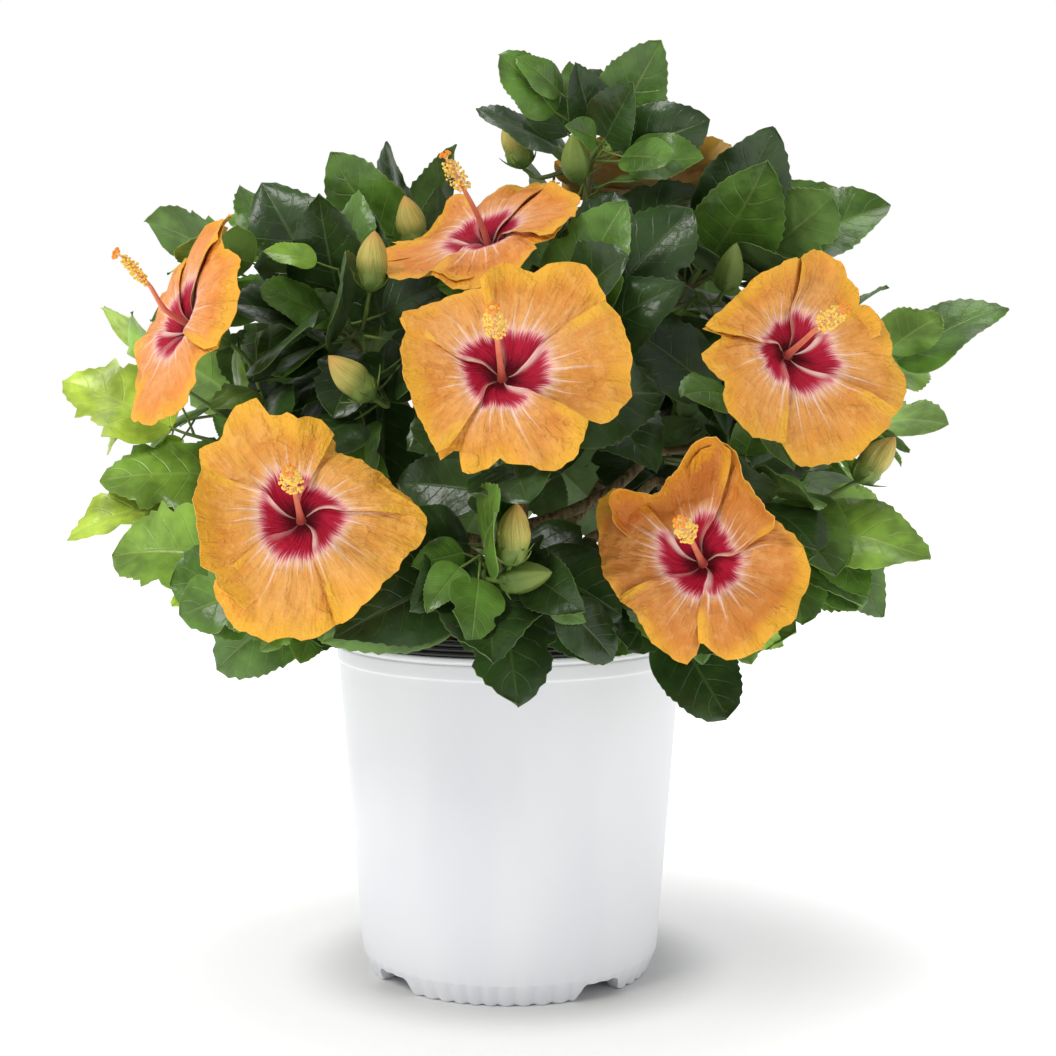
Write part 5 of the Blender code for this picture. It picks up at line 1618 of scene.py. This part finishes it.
def add_bud(pile, calyxes, bud, chance, ripe):
    """A bud: petals furled in a spiral over a green calyx; an unripe one is all calyx."""
    axis = Vector(bud[1]).normalized()
    foot = Vector(bud[0]) - axis * BUD_LENGTH
    turn = chance.uniform(0, 6.3)
    (pile if ripe else calyxes).next_block()
    if ripe:
        t, turns = rows_and_turns(26, 60)
        shape = np.sin(math.pi * np.clip(0.10 + 0.90 * t, 0, 1) ** 0.92) ** 0.80
        spiral = (turns * 5 / math.tau + turn + 0.9 * t) % 1
        step = 1 + 0.11 * (spiral - 0.5) * np.sin(math.pi * t) ** 0.4 + 0.03 * np.sin(4 * turns + 6 * t)
        radius = BUD_RADIUS * shape * step + 0.0002
        pile.add_round(round_grid(foot, axis, BUD_LENGTH * (0.10 + 0.90 * t), radius, turns)[0])
        add_calyx(calyxes, foot, axis, 0.0185, 0.0092, turn)
        return
    t, turns = rows_and_turns(20, 50)
    shape = np.sin(math.pi * np.clip(0.04 + 0.96 * t, 0, 1) ** 0.70) ** 0.75
    turned = turns + turn
    ridge = 1 + 0.11 * np.abs(np.cos(2.5 * turned)) ** 3 - 0.05 * np.abs(np.sin(5 * turned))
    radius = UNRIPE_RADIUS * shape * ridge + 0.0002
    calyxes.add_round(round_grid(foot, axis, BUD_LENGTH * 0.86 * t, radius, turns)[0])
    add_calyx(calyxes, foot, axis, 0.010, 0.0062, turn, open_out=0.5)


# ================================================================ the pot, the liner and the soil
def wall_radius(height):
    share = (height - POT_HEEL_HEIGHT) / (POT_HEIGHT - POT_BAND_HEIGHT - POT_HEEL_HEIGHT)
    return POT_HEEL_RADIUS + (POT_WALL_RADIUS - POT_HEEL_RADIUS) * share


def liner_radius(height):
    return wall_radius(height) - POT_WALL - GAP / math.cos(math.pi / ROUND)


def rounded(points, radius, steps=4):
    """A profile with its corners turned into short arcs."""
    found = [points[0]]
    for before, corner, after in zip(points, points[1:], points[2:]):
        a, b, c = (Vector((*p, 0)) for p in (before, corner, after))
        first = min(radius, 0.45 * (a - b).length)
        second = min(radius, 0.45 * (c - b).length)
        start = b + (a - b).normalized() * first
        end = b + (c - b).normalized() * second
        found += [(p.x, p.y) for p in curve_points(start, b, end, steps)]
    found.append(points[-1])
    return found


def subdivided(points, most):
    """A profile with no stretch longer than `most`."""
    found = [points[0]]
    for a, b in zip(points, points[1:]):
        count = max(1, math.ceil(math.dist(a, b) / most))
        for k in range(1, count + 1):
            found.append((a[0] + (b[0] - a[0]) * k / count, a[1] + (b[1] - a[1]) * k / count))
    return found


def pot_shape(radius, angle, height):
    """Flutes round the foot, which fade out above the heel and scallop the foot's lower edge."""
    if radius < POT_UNDERSIDE_RADIUS or height > FLUTE_END:
        return radius, height
    wave = (0.5 + 0.5 * math.cos(FLUTES * angle + 0.9 * math.sin(7 * angle))) ** 2
    fade = min(max((FLUTE_END - height) / 0.012, 0), 1)
    outer = min(max((radius - 0.086) / 0.004, 0), 1)
    low = min(max((0.004 - height) / 0.004, 0), 1)
    return radius - FLUTE_DEPTH * wave * fade * outer, height + FLUTE_SCALLOP * wave * low * outer


def make_pot():
    """The white pot, turned, with a band at its rim, and notched at its foot."""
    band = POT_HEIGHT - POT_BAND_HEIGHT
    top = POT_HEIGHT
    outer = rounded([
        (POT_FOOT_INSIDE, 0.0), (POT_FOOT_RADIUS, 0.0),
        (POT_HEEL_RADIUS, POT_HEEL_HEIGHT), (POT_WALL_RADIUS, band),
        (POT_WALL_RADIUS + 0.0009, band + 0.0007), (POT_RIM_RADIUS, top - 0.0052),
        (POT_RIM_RADIUS - 0.0006, top - 0.0046), (POT_RIM_RADIUS - 0.0005, top - 0.0034),
        (POT_RIM_RADIUS + 0.0001, top - 0.0030), (POT_RIM_RADIUS - 0.0001, top - 0.0008),
        (POT_RIM_RADIUS - 0.0010, top), (wall_radius(top) - POT_WALL, top),
        (wall_radius(top) - POT_WALL, top - 0.004)], POT_EASED)
    inner = [(wall_radius(POT_FLOOR) - POT_WALL, POT_FLOOR), (AXIS_HOLE, POT_FLOOR)]
    under = [(AXIS_HOLE, POT_UNDERSIDE), (POT_UNDERSIDE_RADIUS, POT_UNDERSIDE)]
    profile = subdivided(under + outer + inner, 0.0045)
    pile = Pile("pot_shell", [pot_look()])
    add_turned(pile, profile, FLUTE_SIDES * FLUTES, shape=pot_shape)
    pot = pile.build(sharp=POT_SHARP)
    close_ends(pot.data)
    for bearing in NOTCH_BEARINGS:
        cut = pot.modifiers.new("notch", "BOOLEAN")
        cut.operation = "DIFFERENCE"
        cut.object = notch_cutter(math.radians(bearing))
        depsgraph = bpy.context.evaluated_depsgraph_get()
        left = bpy.data.meshes.new_from_object(pot.evaluated_get(depsgraph))
        cutter = cut.object
        pot.modifiers.clear()
        pot.data = left
        bpy.data.objects.remove(cutter)
    pot.data.shade_smooth()
    pot.data.set_sharp_from_angle(angle=math.radians(POT_SHARP))
    place(pot, "pot_plastic", "pot")


def close_ends(mesh):
    """Fills the two tiny rings on the axis, so that the notches cut a closed body."""
    body = bmesh.new()
    body.from_mesh(mesh)
    rims = [edge for edge in body.edges if edge.is_boundary]
    bmesh.ops.holes_fill(body, edges=rims, sides=0)
    body.to_mesh(mesh)
    body.free()


def notch_cutter(bearing):
    """A block with sloping sides and eased corners, across the foot at one bearing."""
    out = polar(1, bearing, 0)
    side = UP.cross(out)
    foot = NOTCH_FOOT_WIDTH / 2
    top = NOTCH_TOP_WIDTH / 2
    section = rounded([
        (-foot - 0.003, -0.005), (-foot + 0.001, 0.0005), (-top, NOTCH_HEIGHT), (top, NOTCH_HEIGHT),
        (foot - 0.001, 0.0005), (foot + 0.003, -0.005)], NOTCH_EASED)
    vertices = []
    for distance in (0.060, POT_HEEL_RADIUS + 0.02):
        for across_foot, height in section:
            vertices.append(tuple(out * distance + side * across_foot + Vector((0, 0, height))))
    count = len(section)
    faces = [tuple(range(count)), tuple(reversed(range(count, 2 * count)))]
    for k in range(count):
        after = (k + 1) % count
        faces.append((after, k, count + k, count + after))
    mesh = bpy.data.meshes.new("notch")
    mesh.from_pydata(vertices, [], faces)
    mesh.update()
    cutter = bpy.data.objects.new("notch", mesh)
    bpy.context.scene.collection.objects.link(cutter)
    return cutter


def make_liner():
    """The black liner: floor, wall, and a lip with three beads that stands above the pot."""
    floor = POT_FLOOR + GAP
    lip = POT_HEIGHT + GAP
    top = liner_radius(LINER_HEIGHT)
    profile = [(AXIS_HOLE, floor), (liner_radius(floor), floor), (liner_radius(lip), lip)]
    steps = 36
    for k in range(steps + 1):
        height = lip + (LINER_HEIGHT - lip - 0.0008) * k / steps
        bead = abs(math.sin(math.pi * LINER_BEADS * k / steps)) ** 0.7
        profile.append((top + 0.0002 + (LINER_LIP - 0.0002) * bead, height))
    profile += [(top - 0.0002, LINER_HEIGHT), (top - LINER_WALL + 0.0003, LINER_HEIGHT),
                (top - LINER_WALL, LINER_HEIGHT - 0.0006),
                (liner_radius(floor + LINER_WALL) - LINER_WALL, floor + LINER_WALL),
                (AXIS_HOLE, floor + LINER_WALL)]
    pile = Pile("liner_lip", [liner_look()])
    add_turned(pile, profile, 160)
    place(pile.build(sharp=38), "liner_plastic", "liner")


def make_soil():
    """Lumpy potting soil, with bark chips and grains of perlite pressed into it."""
    inset = LINER_WALL + GAP / math.cos(math.pi / ROUND)
    edge = liner_radius(SOIL_HEIGHT) - inset
    low = POT_FLOOR + LINER_WALL + 2 * GAP

    def lumps(radius, angle, height):
        if height < SOIL_HEIGHT - 0.001:
            return radius, height
        spot = polar(radius, angle, 0)
        rise = sum(size * noise.noise(spot * fine) for size, fine in SOIL_LUMPS)
        return radius, height - 0.0012 + rise * min(1.0, (edge - radius) / 0.004 + 0.25)

    profile = [(AXIS_HOLE, low), (liner_radius(low) - inset, low), (edge, SOIL_HEIGHT)]
    for k in range(1, 46):
        profile.append((edge * (1 - k / 46), SOIL_HEIGHT))
    profile.append((AXIS_HOLE, SOIL_HEIGHT))
    pile = Pile("soil_surface", [
        soil_look(), chip_look("bark_chips", (58, 38, 24), (120, 84, 54)),
        chip_look("perlite", (205, 202, 194), (236, 234, 228))])
    add_turned(pile, profile, 150, shape=lumps)
    chance = random.Random("soil")
    pile.next_block()
    for k in range(CHIPS):
        radius = edge * math.sqrt(chance.uniform(0.03, 0.94))
        centre = polar(radius, chance.uniform(0, math.tau), SOIL_HEIGHT - 0.0004)
        perlite = k % PERLITE_EVERY == 0
        size = chance.uniform(0.0009, 0.0016) if perlite else chance.uniform(0.0012, 0.0032)
        axis = shaken(chance, 1, 1, 0.25).normalized()
        long = chance.uniform(0.8, 1.2) if perlite else chance.uniform(1.2, 2.4)
        add_ball(pile, centre, size, 2 if perlite else 1, rings=4, sides=5, long=long, axis=axis,
                 chart=QUARTERS[perlite])
    place(pile.build(sharp=30), "soil", "soil")


# ================================================================ putting it together
def place(made, slot, *nodes):
    """A piece rides with the one body and stands for the nodes; the finish given as slot is not used."""
    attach(made, "root")
    if nodes:
        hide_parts(*nodes)


def foliage_nodes(masses):
    return ["foliage_" + mass.name for mass in masses]


def bark_relief(point):
    """Low ridges and cracks along the bark."""
    stretched = Vector((point.x * 320, point.y * 320, point.z * 90))
    return 0.00045 * noise.noise(stretched) + 0.00030 * noise.noise(stretched * 2.3)


def make_limbs(boughs):
    """The trunk and the boughs, with the relief of their bark, as one piece."""
    pile = Pile("trunk_and_boughs", [bark_look()])
    heights = [SOIL_HEIGHT + rise for rise in (-0.003, 0.001, 0.004, 0.009, 0.016)]
    heights += [SOIL_HEIGHT + 0.022 + 0.004 * k for k in range(23)] + [TRUNK_TOP - 0.001]
    points = [trunk_centre(height) for height in heights]
    radii = []
    for height in heights:
        flare = math.exp(-max(height - SOIL_HEIGHT, 0) / 0.006)
        crown = max(0.0, (height - (TRUNK_TOP - 0.012)) / 0.012)
        radii.append((TRUNK_RADIUS + 0.9 * TRUNK_FLARE * flare) * (1 - 0.45 * crown ** 2))
    add_tube(pile, points, radii, 28, relief=bark_relief)
    for name, path in boughs:
        pile.next_block()
        fine = smooth_path(path, 9)
        count = len(fine)
        widths = []
        for k in range(count):
            share = k / (count - 1)
            collar = BOUGH_COLLAR * math.exp(-(fine[k] - fine[0]).length / COLLAR_LENGTH)
            widths.append(BOUGH_RADIUS + (BOUGH_TIP_RADIUS - BOUGH_RADIUS) * share + collar)
        add_tube(pile, fine, widths, 12, relief=bark_relief)
    limbs = pile.build(sharp=70)
    place(limbs, "bark", "trunk", *("bough_" + name for name, _ in boughs))


def make_twigs(masses):
    """Stems, shoots, side shoots and the stalks of blooms and buds, swollen a little at each node."""
    green = gradient_look("twig_green", 0.5, (0.0, (96, 92, 56)), (0.7, (104, 128, 58)))
    brown = gradient_look("twig_brown", 0.65, (0.0, (112, 92, 62)), (1.0, (104, 104, 60)))
    pile = Pile("twigs", [green, brown])
    for mass in masses:
        kinds = ([(mass.stem, 6, 9, 1, STEM_RADIUS, SHOOT_RADIUS * 1.05)]
                 + [(path, 7, 8, 0, SHOOT_RADIUS, SHOOT_TIP_RADIUS * 0.85) for path, _ in mass.shoots]
                 + [(path, 4, 7, 0, 0.0011, 0.0006) for path in mass.side_shoots]
                 + [(path, 6, 8, 0, 0.0017, 0.0014) for path in mass.stalks])
        for path, steps, sides, slot, first, last in kinds:
            fine = smooth_path(path, steps)
            pile.next_block()
            add_tube(pile, fine, knotted(tapering(first, last, len(fine))), sides, slot)
    place(pile.build(sharp=70), "foliage", *foliage_nodes(masses))


def knotted(radii):
    return [radius * (1 + 0.16 * (k % 6 == 3)) for k, radius in enumerate(radii)]


# Each green with its veins' colour. Which leaf gets which is partly painted light and shade: deep inside
# the crown, light and bright outside and on the left.
GREENS = {
    "deep": (linear(46, 70, 30), linear(104, 128, 68)),
    "mid": (linear(84, 120, 44), linear(146, 168, 88)),
    "light": (linear(126, 164, 60), linear(180, 200, 106)),
    "bright": (linear(178, 206, 72), linear(214, 224, 126)),
}


# The two commonest greens are each made in two pieces, parted at this y.
HALVED_GREENS = ("deep", "mid")
HALVES = ("_front", "_back")
HALVING = -0.02


def make_leaves(masses):
    """All the leaves, joined by their green."""
    stalk = gradient_look("petiole", 0.5, (0.0, (98, 118, 52)), (1.0, (128, 150, 72)))
    piles = {}
    for name, (colour, vein) in GREENS.items():
        under = tuple(0.55 * a + 0.45 * b for a, b in zip(colour, linear(118, 146, 86)))
        looks = [leaf_look("leaf_" + name, colour, vein, 0.30),
                 leaf_look("leaf_under_" + name, under, vein, 0.55, under=True), stalk]
        for half in HALVES if name in HALVED_GREENS else ("",):
            piles[name + half] = Pile("leaves_" + name + half, looks)
    for mass in masses:
        for number, leaf in enumerate(mass.leaves):
            chance = random.Random(f"{mass.name}-{number}-{leaf.length:.5f}")
            tint = green_with_painted_light(leaf, chance)
            half = HALVES[leaf.base.y > HALVING] if tint in HALVED_GREENS else ""
            add_leaf(piles[tint + half], leaf, chance)
    for pile in piles.values():
        place(pile.build(sharp=60), "foliage", *foliage_nodes(masses))


# The ground of the petals, inside and outside.
PETAL_TONES = {
    "plain": (linear(234, 165, 94), linear(232, 160, 62)),
    "front_left": (linear(235, 169, 90), linear(235, 167, 58)),
    "front_right": (linear(212, 138, 72), linear(208, 130, 50)),
    "left": (linear(240, 160, 98), linear(236, 146, 62)),
    "upper": (linear(238, 160, 98), linear(234, 146, 60)),
}


def make_blooms(masses):
    """Each bloom's petals as a piece of its own, and all the columns, calyxes and buds."""
    columns = Pile("columns", [
        gradient_look("column_coral", 0.45,
                      (0.0, (196, 62, 70)), (0.3, (222, 122, 96)), (1.0, (236, 176, 120))),
        gradient_look("filaments", 0.5, (0.0, (248, 214, 150)), (1.0, (250, 226, 170))),
        gradient_look("anthers", 0.7, (0.0, (250, 206, 84)), (1.0, (254, 224, 124))),
        gradient_look("stigmas", 0.6, (0.0, (240, 140, 34)), (1.0, (246, 168, 52)))])
    green = gradient_look("calyx_green", 0.5, (0.0, (92, 122, 54)), (0.9, (126, 144, 66)), bump=0.0005)
    calyxes = Pile("calyxes", [green])
    buds = Pile("buds", [bud_look()])
    for number, mass in enumerate(masses):
        bloom = mass.plan["bloom"]
        node = "foliage_" + mass.name
        if bloom:
            shift = 0.37 * number
            peach, gold = PETAL_TONES.get(mass.name, PETAL_TONES["plain"])
            back = gradient_look(
                "petal_back_" + mass.name, 0.5,
                (0.0, (222, 188, 132)), (0.45, (226, 164, 96)), (1.0, (236, 178, 74)),
                mottle=0.25, bump=0.0009)
            looks = [petal_look("petal_a_" + mass.name, shift, peach, gold, 0.85),
                     petal_look("petal_b_" + mass.name, shift + 5.3, peach, gold, 0.25), back]
            pile = Pile("petals_" + mass.name, looks)
            plan = PETAL_PLANS.get(mass.name) or plain_plan(bloom)
            add_petals(pile, bloom, plan)
            place(pile.build(sharp=60), "foliage", node)
            add_column(columns, bloom, plan.get("head", 1.0))
            axis = Vector(bloom[1]).normalized()
            foot = Vector(bloom[0]) - axis * (THROAT_DEPTH + THROAT_FLOOR + CALYX_BELOW)
            add_calyx(calyxes, foot, axis, 0.026, 0.0078, 0.7 * number, open_out=0.35)
        for count, bud in enumerate(mass.plan["buds"]):
            chance = random.Random(f"bud {mass.name} {count}")
            add_bud(buds, calyxes, bud, chance, (mass.name, count) not in UNRIPE)
    for pile in (columns, calyxes, buds):
        place(pile.build(sharp=50), "foliage", *foliage_nodes(masses))


def make_stage():
    """A pale floor, soft studio light, and the camera."""
    pile = Pile("floor", [stage_look()])
    places = np.array([(0.0, 0.0), (1.0, 0.0), (1.0, 1.0), (0.0, 1.0)])
    corners = np.pad((2 * places - 1) * FLOOR_REACH, ((0, 0), (0, 1)))
    pile.add(corners, np.array([[0, 1, 2, 3]]), places)
    pile.build()
    make_light()
    data = bpy.data.cameras.new("camera")
    data.sensor_width = CAMERA_SENSOR
    data.lens = CAMERA_LENS
    data.clip_end = 50.0
    camera = bpy.data.objects.new("camera", data)
    camera.location = CAMERA
    camera.rotation_euler = (math.radians(90.0 - CAMERA_PITCH), 0.0, 0.0)
    bpy.context.scene.collection.objects.link(camera)
    bpy.context.scene.camera = camera
    bpy.context.scene.view_settings.view_transform = "Standard"


# Name, place, size, watts and colour of each lamp, and the spot at which all aim.
LAMPS = (
    ("key", (-1.25, -1.25, 1.85), 0.9, 24.0, (1.0, 0.985, 0.955)),
    ("fill", (1.6, -1.2, 0.9), 1.4, 2.5, (0.95, 0.97, 1.0)),
    ("top", (0.1, 0.5, 2.2), 1.0, 8.0, (1.0, 1.0, 1.0)))
LAMP_AIM = Vector((0, 0, 0.32))


def make_light():
    """A bright horizon under a dimmer dome, a soft key from the upper left, a fill and a top light."""
    world = bpy.data.worlds.new("studio")
    bpy.context.scene.world = world
    pattern = Pattern(world)
    way = pattern.node("TexCoord", {}, "Generated")
    high, near = (pattern.node("SeparateXYZ", {"Vector": way}, axis) for axis in "ZY")
    strength = high.step(0.16, 0.60, 1.0, 0.42) * near.step(-0.10, -0.90, 1.0, 0.62)
    background = pattern.nodes["Background"]
    pattern.fill(background.inputs["Strength"], strength)
    pattern.fill(background.inputs["Color"], (1.01, 1.01, 1.01, 1.0))
    for name, spot, size, watts, colour in LAMPS:
        data = bpy.data.lights.new(name, "AREA")
        data.shape = "DISK"
        data.size = size
        data.energy = watts
        data.color = colour
        light = bpy.data.objects.new(name, data)
        light.location = spot
        light.rotation_euler = (LAMP_AIM - Vector(spot)).to_track_quat("-Z", "Y").to_euler()
        bpy.context.scene.collection.objects.link(light)


def stage_look():
    """A pale floor that glows as painted light: not under the pot, enough from just outside its foot to
    lift the plant's shadow, and more far off, so that it meets the backdrop without a line.
    """
    look = Look("floor", 0.8, 0.1)
    look.shade(**{"Base Color": look.mix(look.noise(3.0), (226, 226, 226), (230, 230, 230))})
    distance = look.node("VectorMath", {0: look.place()}, "Value", operation="LENGTH")
    # painted light: the glow, none under the pot, rising just outside its foot and again farther out
    glow = distance.step(0.13, 0.42) * 0.44 + distance.step(0.092, 0.160) * 0.34
    look.shade(**{"Emission Color": (1.0, 1.0, 1.0, 1.0), "Emission Strength": glow})
    return look.material


def main():
    make_stage()
    masses, boughs = grow()
    make_pot()
    make_liner()
    make_soil()
    make_limbs(boughs)
    make_twigs(masses)
    make_leaves(masses)
    make_blooms(masses)


main()
